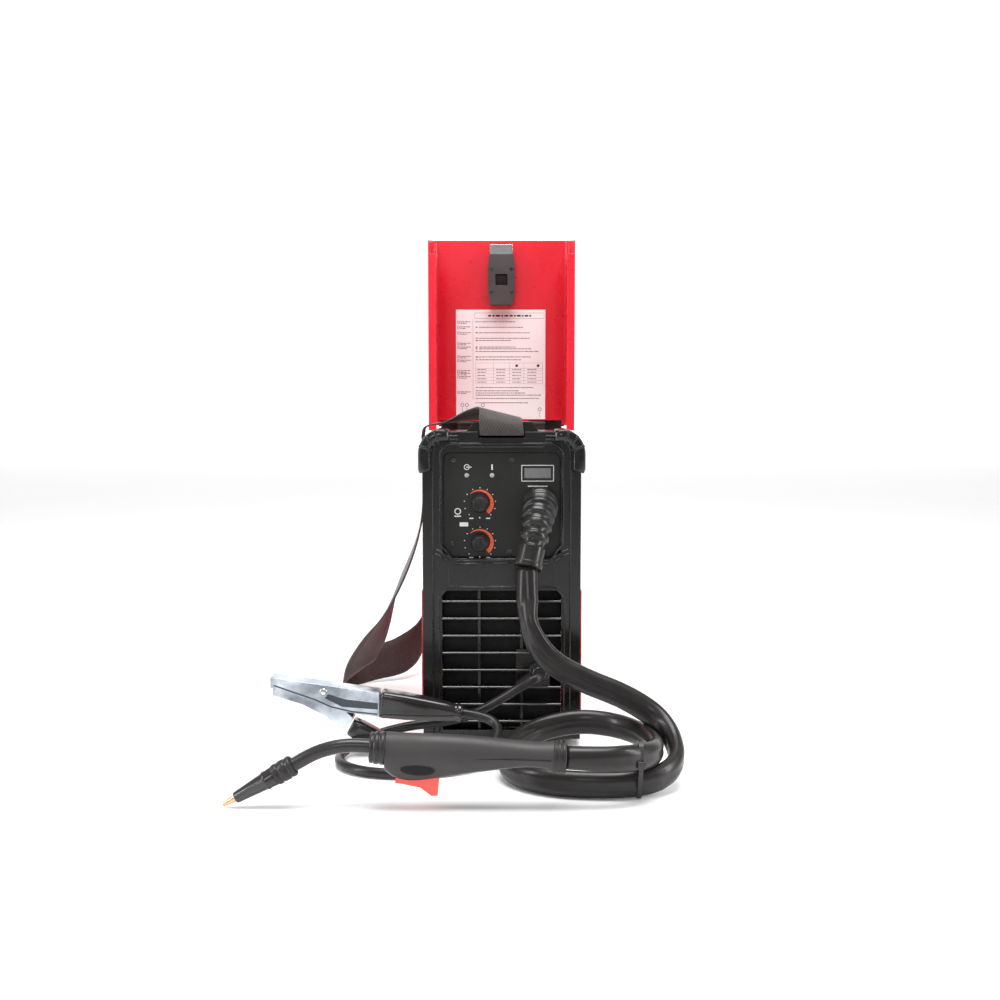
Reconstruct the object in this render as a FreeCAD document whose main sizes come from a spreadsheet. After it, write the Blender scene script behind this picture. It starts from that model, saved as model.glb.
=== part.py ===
"""Wire-feed welding machine: case with an open lift-up hood, wire drive and spool, gun, earth clamp and strap.

Millimetres, +Z up, origin on the floor under the centre of the case, front panel towards -Y.
"""
import FreeCAD, Part
import Sketcher

import math
import os
import re

from FreeCAD import Placement, Rotation, Vector

SIZES = {
    # case
    "case_width": 182,
    "bezel_width": 174,
    "bumper_width": 178,
    "front_face": -210,
    "rear_face": 210,
    "foot_height": 8,
    "foot_radius": 9,
    "bezel_top": 350,
    "bezel_depth": 45,
    "bezel_wall": 12,
    "rear_top": 346,
    "rear_depth": 24.5,
    "steel": 1.5,
    "side_wall_top": 168,
    "corner_radius": 24,
    # front panel
    "panel_half": 64,
    "panel_low": 212,
    "panel_high": 327,
    "panel_plane": -203.5,
    "knob_radius": 10,
    "knob_length": 14,
    "knob_left": -24,
    "voltage_height": 271,
    "speed_height": 227.4,
    "shaft_radius": 3,
    "running_gap": 0.05,
    "lamp_radius": 2.6,
    "grille_low": 18,
    "grille_high": 175,
    "grille_half": 66,
    "louvre_first": 28,
    "louvre_pitch": 19.25,
    "louvre_thick": 2,
    "louvre_depth": 10,
    # hood, drawn standing open
    "hinge_back": 182,
    "hinge_height": 345.5,
    "knuckle_radius": 3,
    "knuckle_length": 24,
    "hinge_pin_radius": 1.55,
    "hood_panel_front": 179,
    "hood_low": 342.5,
    "hood_high": 593,
    "hood_reach": 7,
    "hood_rake": 16,
    "flange_width": 10,
    "flange_high": 561,
    "bend_radius": 5,
    # latch on the hood
    "latch_half": 18,
    "latch_low": 506,
    "latch_high": 574,
    "latch_depth": 14,
    "bolt_half": 15.5,
    "bolt_thick": 3,
    "bolt_high": 587,
    # nose of the case in front of the hood
    "nose_half": 88,
    "nose_back": -100,
    "lip_half": 79.5,
    "lip_back": -62,
    # wire drive and spool
    "gun_line": 42,
    "gun_height": 270,
    "drive_y": -95,
    "drive_roll_radius": 15,
    "idle_roll_radius": 11,
    "roll_nip": 0.9,
    "axle_radius": 4,
    "spool_y": 70,
    "spool_z": 235,
    "spool_radius": 98,
    "spool_bore": 25.55,
    "spool_left": 12,
    "spool_width": 52,
    "coil_radius": 86,
    "barrel_radius": 50,
    # earth lead outlet
    "earth_x": 41.5,
    "earth_z": 84.6,
    "earth_cable": 10.5,
    # gun
    "gun_y": -429,
    "gun_rear_x": 61,
    "gun_rear_z": 49.3,
    "gun_tilt": 3.33,
    "gun_cable": 22,
    "collar_radius": 16,
    "neck_radius": 6.8,
    "neck_bend": 33.3,
    "neck_bend_radius": 90,
    "neck_straight": 198,
    "neck_end": 14,
    "nozzle_radius": 10.5,
    "nozzle_tip_radius": 5.6,
    "tip_radius": 3.7,
    "peg_radius": 1.6,
    # earth clamp
    "clamp_y": -245,
    "clamp_half": 12,
    "pivot_x": -192,
    "pivot_z": 72,
    "rivet_radius": 3.5,
    # rear panel
    "fan_half": 46,
    "fan_z": 62,
    "fan_front": 158,
    "fan_depth": 25,
    "fan_hub_radius": 19,
    "switch_x": -50,
    "switch_z": 251,
    "cord_x": 66,
    "cord_z": 130,
    "cord_radius": 5.2,
    # strap
    "strap_width": 48,
    "strap_thick": 2,
}

doc = FreeCAD.newDocument("welder")
sheet = doc.addObject("Spreadsheet::Sheet", "Dims")
for row, (alias, value) in enumerate(SIZES.items(), start=1):
    sheet.set(f"A{row}", alias)
    sheet.set(f"B{row}", str(value))
    sheet.setAlias(f"B{row}", alias)
doc.recompute()

NODES = {}
WORD = re.compile(r"[a-z_]+")
AXES = {
    "X": Rotation(Vector(0, 1, 0), 90),
    "Y": Rotation(Vector(1, 0, 0), -90),
    "Z": Rotation(),
}


def linked(expression):
    """The expression with each alias pointed at the sheet."""
    return WORD.sub(lambda found: f"Dims.{found.group()}" if found.group() in SIZES else found.group(),
                    str(expression))


def size(alias):
    """A driving dimension's value."""
    return float(sheet.get(alias))


def bound(kind, label, sizes, at, turn=None):
    """A primitive with its sizes and its position bound to the sheet."""
    solid = doc.addObject(kind, label)
    solid.Label = label
    if turn:
        solid.Placement = Placement(Vector(), turn)
    for name, expression in sizes.items():
        solid.setExpression(name, linked(expression))
    for axis, expression in zip("xyz", at):
        solid.setExpression(f"Placement.Base.{axis}", linked(expression))
    return solid


def box(label, at, lengths):
    """A block from its lowest corner."""
    return bound("Part::Box", label, dict(zip(("Length", "Width", "Height"), lengths)), at)


def rod(label, axis, at, radius, length):
    """A cylinder that runs along +axis from the given point."""
    return bound("Part::Cylinder", label, {"Radius": radius, "Height": length}, at, AXES[axis])


def taper(label, axis, at, near, far, length):
    """A cone frustum that runs along +axis from the given point."""
    sizes = {"Radius1": near, "Radius2": far, "Height": length}
    return bound("Part::Cone", label, sizes, at, AXES[axis])


def fuse(label, *solids):
    """Several solids joined into one."""
    joined = doc.addObject("Part::MultiFuse", label)
    joined.Label = label
    joined.Shapes = list(solids)
    joined.Refine = True
    return joined


def cut(label, base, *tools):
    """A solid with others taken away."""
    result = doc.addObject("Part::Cut", label)
    result.Label = label
    result.Base = base
    result.Tool = tools[0] if len(tools) == 1 else fuse(label + "_tools", *tools)
    result.Refine = True
    return result


def group(label, solids):
    """Separate solids that share one node."""
    several = doc.addObject("Part::Compound", label)
    several.Label = label
    several.Links = list(solids)
    return several


def rounded(label, base, radius, chosen):
    """Fillets on the edges that the test picks."""
    doc.recompute()
    fillet = doc.addObject("Part::Fillet", label)
    fillet.Label = label
    fillet.Base = base
    fillet.Edges = [(number, radius, radius) for number, edge in enumerate(base.Shape.Edges, start=1)
                    if chosen(edge)]
    return fillet


def edge_along(axis, **limits):
    """A test for straight edges along an axis, whose centre is within the limits given as x=(low, high)."""
    def test(edge):
        if edge.Curve.TypeId != "Part::GeomLine":
            return False
        if abs(abs(edge.Curve.Direction.dot(axis)) - 1) > 1e-6:
            return False
        centre = edge.CenterOfMass
        return all(low <= getattr(centre, name) <= high for name, (low, high) in limits.items())
    return test


def plate(label, plane, outline, start, thick):
    """A PartDesign pad of a polygon. The outline's numbers are expressions, and start is along the normal.

    On XZ_Plane the outline is (x, z) and the pad grows towards -Y; on YZ_Plane it is (y, z) and grows towards +X.
    """
    body = doc.addObject("PartDesign::Body", label)
    body.Label = label
    sketch = body.newObject("Sketcher::SketchObject", label + "_outline")
    face = [item for item in body.Origin.OriginFeatures if item.Role == plane][0]
    sketch.AttachmentSupport = [(face, "")]
    sketch.MapMode = "FlatFace"
    sketch.setExpression("AttachmentOffset.Base.z", linked(start))
    corners = [Vector(math.cos(2 * math.pi * n / len(outline)), math.sin(2 * math.pi * n / len(outline)), 0)
               for n in range(len(outline))]
    for n, corner in enumerate(corners):
        sketch.addGeometry(Part.LineSegment(corner, corners[(n + 1) % len(corners)]), False)
    for n in range(len(corners)):
        sketch.addConstraint(Sketcher.Constraint("Coincident", n, 2, (n + 1) % len(corners), 1))
    for n, (across, up) in enumerate(outline):
        for kind, expression, value in (("DistanceX", across, corners[n].x), ("DistanceY", up, corners[n].y)):
            number = sketch.addConstraint(Sketcher.Constraint(kind, -1, 1, n, 1, value))
            sketch.setExpression(f"Constraints[{number}]", linked(expression))
    pad = body.newObject("PartDesign::Pad", label + "_pad")
    pad.Profile = sketch
    pad.setExpression("Length", linked(thick))
    body.Tip = pad
    return body


def keep(solid):
    """Mark a finished sub-part, which is written under its label."""
    NODES[solid.Label] = solid
    return solid


def shaped(label, shape):
    """A solid made with Part's own functions."""
    solid = doc.addObject("Part::Feature", label)
    solid.Label = label
    solid.Shape = shape
    return solid


def wrap(label, half, top, low, front, back, radius):
    """A sheet bent over the case: a top, two sides and round corners, open below and at both ends."""
    reach = f"({back})-({front})"
    outer = box(label + "_outer", (f"-({half})", front, low), (f"2*({half})", reach, f"({top})-({low})"))
    top_corner = edge_along(Vector(0, 1, 0), z=(size(top) - 1, size(top) + 1))
    outer_round = rounded(label + "_outer_round", outer, radius, top_corner)
    inner = box(label + "_inner", (f"-({half})+steel", f"({front})-1", f"({low})-1"),
                (f"2*({half})-2*steel", f"{reach}+2", f"({top})-({low})-steel+1"))
    inner_round = rounded(label + "_inner_round", inner, radius - size("steel"),
                          edge_along(Vector(0, 1, 0), z=(size(top) - 2, size(top) - 1)))
    return cut(label, outer_round, inner_round)


def base_chassis():
    """The lower tray: a floor with two side walls that the hood's skirts come down to."""
    front, length = "front_face+bezel_depth+0.5", "2*rear_face-bezel_depth-rear_depth-1.5"
    floor = box("tray_floor", ("-case_width/2", front, "foot_height"), ("case_width", length, "steel"))
    walls = [box(f"tray_wall_{side}", (x, front, "foot_height"), ("steel", length, "side_wall_top-foot_height"))
             for side, x in (("left", "-case_width/2"), ("right", "case_width/2-steel"))]
    keep(fuse("base_chassis", floor, *walls))
    keep(group("rubber_feet", [rod(f"foot_{n}", "Z", (x, y, 0), "foot_radius", "foot_height")
                               for n, (x, y) in enumerate(((-72, -140), (72, -140), (-72, 155), (72, 155)))]))


def front_bezel():
    """The moulded front: corner bumpers, a panel recess, a louvred grille, an outlet boss and a strap bracket."""
    depth = "bezel_depth"
    frame = box("bezel_block", ("-bezel_width/2", "front_face", "foot_height"),
                ("bezel_width", depth, "bezel_top-foot_height"))
    frame = rounded("bezel_round", frame, size("corner_radius"), edge_along(Vector(0, 1, 0), z=(349, 351)))
    bumper = box("bumper_block", ("-bumper_width/2", "front_face+4", 305), ("bumper_width", "bezel_depth-9", 45.6))
    bumper = rounded("bumper_round", bumper, size("corner_radius"), edge_along(Vector(0, 1, 0), z=(350, 351)))
    hollow = box("bezel_hollow", ("-bezel_width/2+5", "front_face+bezel_wall", "foot_height+5"),
                 ("bezel_width-10", depth, "338-foot_height-5"))
    hollow = rounded("bezel_hollow_round", hollow, 14, edge_along(Vector(0, 1, 0), z=(337, 339)))
    recess = box("panel_recess", ("-panel_half-1", "front_face-1", "panel_low-1"),
                 ("2*panel_half+2", "panel_plane+steel-front_face+1", "panel_high-panel_low+2"))
    recess = rounded("panel_recess_round", recess, 9, edge_along(Vector(0, 1, 0)))
    window = box("panel_window", ("-panel_half+5", "front_face-1", "panel_low+5"),
                 ("2*panel_half-10", "bezel_wall+2", "panel_high-panel_low-10"))
    band = box("name_band", (-58, "front_face-1", 180), (116, 2, 26))
    grille = box("grille_opening", ("-grille_half", "front_face-1", "grille_low"),
                 ("2*grille_half", "bezel_wall+2", "grille_high-grille_low"))
    grille = rounded("grille_chamfer", grille, 8, edge_along(Vector(0, 1, 0), z=(170, 180)))
    channel = box("strap_channel", (-27, "front_face+14", 343), (54, "bezel_depth", 10))
    shell = cut("bezel_shell", fuse("bezel_solid", frame, bumper), hollow, recess, window, band, grille, channel)
    fins = [box(f"louvre_{n}", ("-grille_half-1", "front_face+0.5", f"louvre_first+{n}*louvre_pitch-louvre_thick/2"),
                ("2*grille_half+2", "louvre_depth", "louvre_thick")) for n in range(8)]
    ribs = [box(f"grille_rib_{n}", (x, "front_face+5", "grille_low-1"), (3, 6, "grille_high-grille_low+2"))
            for n, x in enumerate((-26.5, 20.5))]
    boss = box("outlet_boss", (16, "front_face+0.5", 66), (37, "bezel_wall-1", 43))
    bracket = plate("bracket_plate", "XZ_Plane", ((-49, 332), (50, 332), (45, 343), (33, 361), (-31, 361), (-44, 343)),
                    "-front_face-15", 13)
    slot = box("bracket_slot", (-25.5, "front_face-1", 343.6), (51, 20, 7.4))
    earth_hole = rod("earth_hole", "Y", ("earth_x", "front_face-1", "earth_z"), 8, 20)
    keep(cut("front_bezel", fuse("bezel_parts", shell, boss, bracket, *fins, *ribs), slot, earth_hole))


def rear_bezel():
    """The moulded back: a vented plate round the fan, holes for switch and power cord, a strap bracket."""
    front = "rear_face-rear_depth"
    frame = box("rear_block", ("-bezel_width/2-1.5", front, "foot_height"),
                ("bezel_width+3", "rear_depth", "rear_top-foot_height"))
    frame = rounded("rear_round", frame, size("corner_radius") - 4, edge_along(Vector(0, 1, 0), z=(345, 347)))
    hollow = box("rear_hollow", ("-bezel_width/2+8", f"{front}-1", "foot_height+6"),
                 ("bezel_width-16", "rear_depth-5", "336-foot_height-6"))
    vents = [box(f"vent_{n}", ("-fan_half+5", "rear_face-10", f"fan_z+{(n - 3) * 12 - 3}"), ("2*fan_half-10", 20, 6))
             for n in range(7)]
    switch = box("switch_hole", ("switch_x-11", "rear_face-10", "switch_z-15"), (22, 20, 30))
    cord = rod("cord_hole", "Y", ("cord_x", "rear_face-10", "cord_z"), 8, 20)
    bracket = plate("rear_bracket_plate", "XZ_Plane", ((-44, 335), (44, 335), (33, 372), (-33, 372)), "-rear_face", 10)
    slot = box("rear_slot", (-25.5, "rear_face-11", 352), (51, 14, 7.4))
    keep(cut("rear_bezel", fuse("rear_solid", frame, bracket), hollow, *vents, switch, cord, slot))


def nose_wrap():
    """The fixed sheet between bezel and hood: an outer wrap, a narrower joggle and a lip that the latch goes under."""
    front = "front_face+bezel_depth+0.5"
    outer = wrap("nose_outer", "nose_half", "rear_top", "side_wall_top", front, "nose_back", 22)
    inner = wrap("nose_joggle", "lip_half", "rear_top", "side_wall_top+4", "nose_back-steel", "lip_back-5.5", 14)
    web = wrap("nose_web", "nose_half", "rear_top", "side_wall_top+4", "nose_back-steel", "nose_back", 22)
    web_fill = box("nose_web_fill", ("-nose_half+1", "nose_back-steel", "side_wall_top+4"), ("2*nose_half-2", "steel", 160))
    web_hole = box("nose_web_hole", ("-lip_half+1", "nose_back-5", 100), ("2*lip_half-2", 10, 230))
    step = box("nose_step", (-64, "lip_back-7", 340), (128, "steel", 5.5))
    lip = box("nose_lip", (-64, "lip_back-7", 340), (128, 7, "steel"))
    webs = cut("nose_web_ring", fuse("nose_web_sheet", web, web_fill), web_hole)
    keep(fuse("nose_wrap", outer, inner, webs, step, lip))


def partition():
    """The sheet between the electronics on the left and the wire compartment on the right."""
    sheet_wall = box("partition_wall", (-3, -150, "foot_height+steel"), ("steel", 300, "318-foot_height-steel"))
    cover = box("partition_cover", (-76, -150, "318-steel"), (76, 300, "steel"))
    shaft_hole = rod("motor_hole", "X", (-10, "drive_y", DRIVE_Z), 7, 20)
    keep(cut("centre_partition", fuse("partition_sheet", sheet_wall, cover), shaft_hole))


def hood():
    """The lift-up hood: a panel with bent skirts, return flanges along them and the moving hinge knuckles."""
    outer = box("hood_outer", ("-case_width/2", "hood_reach", "hood_low"),
                ("case_width", "hood_panel_front+steel-hood_reach", "hood_high-hood_low"))
    outer = rounded("hood_outer_round", outer, size("bend_radius"), edge_along(Vector(0, 0, 1), y=(180, 181)))
    inner = box("hood_inner", ("-case_width/2+steel", "hood_reach-1", "hood_low-1"),
                ("case_width-2*steel", "hood_panel_front-hood_reach+1", "hood_high-hood_low+2"))
    inner = rounded("hood_inner_round", inner, size("bend_radius") - size("steel"),
                    edge_along(Vector(0, 0, 1), y=(178, 180)))
    rake = plate("hood_rake_cut", "YZ_Plane",
                 (("hood_panel_front", "hood_high"), ("hood_panel_front", "hood_high+10"),
                  ("hood_reach-5", "hood_high+10"), ("hood_reach-5", "hood_high-hood_rake")), -100, 200)
    relief = box("hinge_relief", (-83, "hood_panel_front-4", "hood_low-1"), (166, 10, 8))
    slider = box("slider_slot", (-4.5, "hood_panel_front-1", 527), (9, 4, 21))
    flanges = [box(f"hood_flange_{side}", (x, "hood_reach", "hood_low"),
                   ("flange_width", "steel", "flange_high-hood_low"))
               for side, x in (("left", "-case_width/2"), ("right", "case_width/2-flange_width"))]
    shell = cut("hood_shell", outer, inner, rake, relief, slider)
    knuckles = [hinge_knuckle(f"hood_knuckle_{n}", n) for n in (1, 3)]
    leaves = [box(f"hood_leaf_{n}", (f"-60+{n}*knuckle_length+0.2", "hood_panel_front", "hinge_height"),
                  ("knuckle_length-0.4", "steel", 14)) for n in (1, 3)]
    pin_hole = rod("hood_pin_hole", "X", (-90, "hinge_back", "hinge_height"), "hinge_pin_radius+running_gap", 180)
    keep(cut("hood", fuse("hood_sheet", shell, *flanges, *knuckles, *leaves), pin_hole))


def hinge_knuckle(label, place):
    """One of the five hinge barrels, counted from the left."""
    return rod(label, "X", (f"-60+{place}*knuckle_length+0.2", "hinge_back", "hinge_height"),
               "knuckle_radius", "knuckle_length-0.4")


def hinge():
    """The fixed hinge leaf, which is screwed to the rear bezel, and its pin."""
    leaf = box("leaf_plate", (-60, "hinge_back+2", 322), (120, "steel", 19.8))
    tabs = [box(f"leaf_tab_{n}", (f"-60+{n}*knuckle_length+0.2", "hinge_back+2", 341),
                ("knuckle_length-0.4", 1, 4.5)) for n in (0, 2, 4)]
    knuckles = [hinge_knuckle(f"leaf_knuckle_{n}", n) for n in (0, 2, 4)]
    hole = rod("leaf_pin_hole", "X", (-90, "hinge_back", "hinge_height"), "hinge_pin_radius", 180)
    keep(cut("hinge_leaf", fuse("leaf_sheet", leaf, *tabs, *knuckles), hole))
    keep(rod("hinge_pin", "X", (-61, "hinge_back", "hinge_height"), "hinge_pin_radius", 122))


def latch():
    """The latch inside the hood: a moulded body and a flat bolt that slides up out of it, moved by an outside thumb."""
    front = "hood_panel_front-latch_depth"
    body = plate("latch_block", "XZ_Plane",
                 (("-latch_half+3", "latch_low"), ("latch_half-3", "latch_low"), ("latch_half", "latch_low+14"),
                  ("latch_half", "latch_high-14"), ("latch_half-2", "latch_high"), ("-latch_half+2", "latch_high"),
                  ("-latch_half", "latch_high-14"), ("-latch_half", "latch_low+14")),
                 "-hood_panel_front", "latch_depth")
    channel = box("bolt_channel", ("-bolt_half-0.3", "hood_panel_front-9.3", 534), ("2*bolt_half+0.6", 3.6, 50))
    thumb_way = box("thumb_way", (-4.5, "hood_panel_front-9.3", 527), (9, 12, 21))
    recess = box("latch_recess", (-8, f"{front}-1", 532), (16, 3.5, 15))
    keep(cut("latch_body", body, channel, thumb_way, recess))
    bolt = box("bolt_plate", ("-bolt_half", "hood_panel_front-9", 535), ("2*bolt_half", "bolt_thick", "bolt_high-535"))
    post = box("bolt_post", (-4, "hood_panel_front-8", 530), (8, 12, 8))
    thumb = box("bolt_thumb", (-9, "hood_panel_front+2", 524), (18, 5, 20))
    keep(fuse("latch_bolt", bolt, post, thumb))
    keep(box("setup_label", (-62, "hood_panel_front-0.3", 351), (122, 0.3, 149)))


def control_panel():
    """The flat plate with its two knobs, their potentiometers, two lamps, the screws and the board behind."""
    face = box("panel_sheet", ("-panel_half", "panel_plane", "panel_low"),
               ("2*panel_half", "steel", "panel_high-panel_low"))
    face = rounded("panel_sheet_round", face, 8, edge_along(Vector(0, 1, 0)))
    heights = {"voltage": "voltage_height", "wire_speed": "speed_height"}
    holes = [rod(f"{name}_hole", "Y", ("knob_left", "panel_plane-1", z), "shaft_radius+1", 4)
             for name, z in heights.items()]
    lamps = [rod(f"lamp_{n}", "Y", (x, "panel_plane-1.8", 302), "lamp_radius", 5) for n, x in enumerate((-38.4, -10.6))]
    lamp_holes = [rod(f"lamp_hole_{n}", "Y", (x, "panel_plane-1", 302), "lamp_radius", 4)
                  for n, x in enumerate((-38.4, -10.6))]
    gun_hole = rod("gun_hole", "Y", ("gun_line", "panel_plane-1", "gun_height"), 8, 4)
    keep(cut("control_panel", face, *holes, *lamp_holes, gun_hole))
    keep(group("indicator_lamps", lamps))
    for name, z in heights.items():
        knob = rod(f"{name}_grip", "Y", ("knob_left", "panel_plane-1-knob_length", z), "knob_radius", "knob_length")
        knob = rounded(f"{name}_grip_round", knob, 1.2, lambda edge: edge.CenterOfMass.y < -217)
        pointer = box(f"{name}_pointer", ("knob_left-1", "panel_plane-1.8-knob_length", z), (2, 1.2, 8))
        shaft = rod(f"{name}_shaft", "Y", ("knob_left", "panel_plane-2", z), "shaft_radius", 14)
        keep(fuse(f"{name}_knob", knob, pointer, shaft))
    cans = [cut(f"{name}_pot", rod(f"{name}_can", "Y", ("knob_left", "panel_plane+steel", z), 8.5, 11),
                rod(f"{name}_can_bore", "Y", ("knob_left", "panel_plane-2", z), "shaft_radius+running_gap", 14.5))
            for name, z in heights.items()]
    keep(group("potentiometers", cans))
    keep(box("control_board", (-58, "panel_plane+steel+11.3", 217), (88, 1.6, 104)))
    heads = [rod(f"panel_screw_{n}", "Y", (x, "panel_plane-1.6", z), 3, 1.6)
             for n, (x, z) in enumerate(((-53, 319), (11, 319), (-55, 226), (8, 217)))]
    heads += [rod(f"case_screw_{n}", "X", (x, -178, z), 3.5, 2)
             for n, (x, z) in enumerate(((x, z) for x in ("-bezel_width/2-2", "bezel_width/2") for z in (212, 60)))]
    keep(group("screws", heads))


def gun_outlet():
    """The brass receiver that runs back to the wire drive, and the rubber sleeve over the gun lead's first bend."""
    keep(rod("gun_receiver", "Y", ("gun_line", "panel_plane", "gun_height"), 8, f"-128-({size('panel_plane')})"))
    x, y, z = size("gun_line"), size("panel_plane"), size("gun_height")
    stations = (((x, y, z), (0, -1, 0), 17), ((x, y - 13, z - 1), (0, -1, -0.15), 19.4),
                ((x - 2, y - 31, z - 9), (-0.12, -1, -0.7), 19), ((x - 6, y - 46, z - 25), (-0.22, -0.8, -1.1), 17.5),
                ((x - 10.5, y - 57, z - 43), (-0.24, -0.45, -1.1), 16), (GUN_CORD[0], (-1, -11, -36), 15))
    rings = [Part.Wire(Part.Circle(Vector(*centre), Vector(*heading), radius).toShape())
             for centre, heading, radius in stations]
    keep(shaped("gun_strain_relief", Part.makeLoft(rings, True, False)))


def earth_outlet():
    """The nut and nose where the earth lead leaves the boss."""
    thread = rod("earth_thread", "Y", ("earth_x", "front_face-0.5", "earth_z"), 8, 14)
    nut = rod("earth_nut", "Y", ("earth_x", "front_face-6.5", "earth_z"), 11.5, 7)
    nose = taper("earth_nose", "Y", ("earth_x", "front_face-15", "earth_z"), 7, 9, 9)
    keep(fuse("earth_gland", thread, nut, nose))


def wire_drive():
    """Motor through the partition, driven roll below the wire, sprung idle roll above it on a pressure arm."""
    line, y = "gun_line", "drive_y"
    can = rod("motor_can", "X", (-74, y, DRIVE_Z), 19, 66)
    flange = rod("motor_flange", "X", (-8, y, DRIVE_Z), 22, 5)
    bore = rod("motor_bore", "X", (-20, y, DRIVE_Z), "axle_radius+running_gap", 30)
    keep(cut("feed_motor", fuse("motor_solid", can, flange), bore))
    shaft = rod("drive_shaft", "X", (-18, y, DRIVE_Z), "axle_radius", 68)
    roll = rod("drive_tread", "X", (f"{line}-4", y, DRIVE_Z), "drive_roll_radius", 8)
    key = box("drive_key", (48, f"{y}-1", DRIVE_Z), (4, 2, 7))
    keep(fuse("drive_roll", shaft, roll, key))

    block = box("frame_plate", (22, f"{y}-28", 232), (10, 62, 56))
    foot = box("frame_foot", (-1.5, f"{y}-28", 232), (24, 62, 6))
    inlet = box("frame_inlet", (22, f"{y}+24", 261), (26, 10, 18))
    outlet = box("frame_outlet", (22, f"{y}-39", 257), (34, 12, 23))
    pivot = rod("frame_pivot", "X", (30, f"{y}+20", 288), 2.5, 28)
    lug = box("frame_lug", (22, f"{y}+15", 280), (10, 12, 13))
    holes = (rod("frame_shaft_hole", "X", (10, y, DRIVE_Z), "axle_radius+running_gap", 30),
             rod("inlet_hole", "Y", (line, f"{y}+20", "gun_height"), 1.5, 20),
             rod("outlet_hole", "Y", (line, f"{y}-45", "gun_height"), 8, 30),
             rod("tension_hole", "Z", ("gun_line+9", f"{y}-33", 270), 2.5, 20))
    keep(cut("drive_frame", fuse("frame_solid", block, foot, inlet, outlet, pivot, lug), *holes))

    arm = box("arm_bar", (47.5, f"{y}-38", 281), (7, 62, 12))
    fork = box("arm_fork", (43.5, f"{y}-38", 281), (15, 12, 12))
    axle = rod("arm_axle", "X", (36, y, IDLE_Z), 3, 12)
    slot = box("arm_slot", (47.5, f"{y}-39", 279), (7, 10, 16))
    hole = rod("arm_pivot_hole", "X", (40, f"{y}+20", 288), "2.5+running_gap", 20)
    keep(cut("pressure_arm", fuse("arm_solid", arm, fork, axle), slot, hole))
    idle = rod("idle_tread", "X", ("gun_line-4", y, IDLE_Z), "idle_roll_radius", 8)
    keep(cut("idle_roll", idle, rod("idle_bore", "X", (30, y, IDLE_Z), "3+running_gap", 20)))
    stud = rod("tension_stud", "Z", ("gun_line+9", f"{y}-33", 274.5), "2.5-running_gap", 28)
    grip = rod("tension_grip", "Z", ("gun_line+9", f"{y}-33", 301), 8, 15)
    keep(fuse("tension_knob", stud, grip))


def spool():
    """Fixed hub on the partition, plastic spool, wound wire and the nut that brakes the spool."""
    hub = rod("hub_barrel", "X", (-1.5, "spool_y", "spool_z"), "spool_bore-running_gap", 63)
    collar = rod("hub_collar", "X", (-1.5, "spool_y", "spool_z"), 32, 13)
    stud = rod("hub_stud", "X", (60, "spool_y", "spool_z"), 4, 16)
    keep(fuse("spool_hub", hub, collar, stud))
    left, wide = "spool_left", "spool_width"
    flanges = [rod(f"spool_flange_{n}", "X", (x, "spool_y", "spool_z"), "spool_radius", 3)
               for n, x in enumerate((left, f"{left}+{wide}-3"))]
    barrel = rod("spool_barrel", "X", (left, "spool_y", "spool_z"), "barrel_radius", wide)
    hole = rod("spool_hole", "X", (0, "spool_y", "spool_z"), "spool_bore", 90)
    windows = [rod(f"spool_window_{n}", "X", (0, f"spool_y+{round(37.5 * math.cos(n * math.pi / 3), 2)}",
                                              f"spool_z+{round(37.5 * math.sin(n * math.pi / 3), 2)}"), 8, 90)
               for n in range(6)]
    keep(cut("wire_spool", fuse("spool_solid", *flanges, barrel), hole, *windows))
    wound = rod("wound_outer", "X", (f"{left}+3", "spool_y", "spool_z"), "coil_radius", f"{wide}-6")
    core = rod("wound_core", "X", (0, "spool_y", "spool_z"), "barrel_radius", 90)
    keep(cut("welding_wire", wound, core))
    nut = rod("nut_disc", "X", (66, "spool_y", "spool_z"), 17, 5)
    wing = box("nut_wing", (70, "spool_y-14", "spool_z-2.5"), (7, 28, 5))
    bore = rod("nut_bore", "X", (50, "spool_y", "spool_z"), 4, 40)
    keep(cut("spool_nut", fuse("nut_solid", nut, wing), bore))


def electronics():
    """Transformer, output choke and rectifier heat sink on the tray, left of the partition."""
    floor = "foot_height+steel"
    block = box("core_block", (-76, -45, floor), (66, 90, 78))
    windows = [box(f"core_window_{n}", (-80, y, f"{floor}+18"), (80, 18, 42)) for n, y in enumerate((-30, 12))]
    keep(cut("transformer_core", block, *windows))
    wound = box("winding_block", (-83, -29.5, f"{floor}+18.5"), (78, 59, 41))
    wound = rounded("winding_round", wound, 6, edge_along(Vector(0, 0, 1)))
    keep(cut("transformer_winding", wound, box("winding_hole", (-76, -12, 0), (66, 24, 150))))
    ring = doc.addObject("Part::Torus", "output_choke")
    ring.Label = "output_choke"
    ring.Radius1, ring.Radius2 = 23, 12
    ring.setExpression("Placement.Base.x", "-43")
    ring.setExpression("Placement.Base.y", "95")
    ring.setExpression("Placement.Base.z", linked(f"{floor}+12"))
    keep(ring)
    base = box("sink_base", (-80, -130, floor), (70, 62, 6))
    fins = [box(f"sink_fin_{n}", (-80 + 8.25 * n, -130, f"{floor}+5"), (4, 62, 48)) for n in range(9)]
    keep(fuse("rectifier_heatsink", base, *fins))


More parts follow.
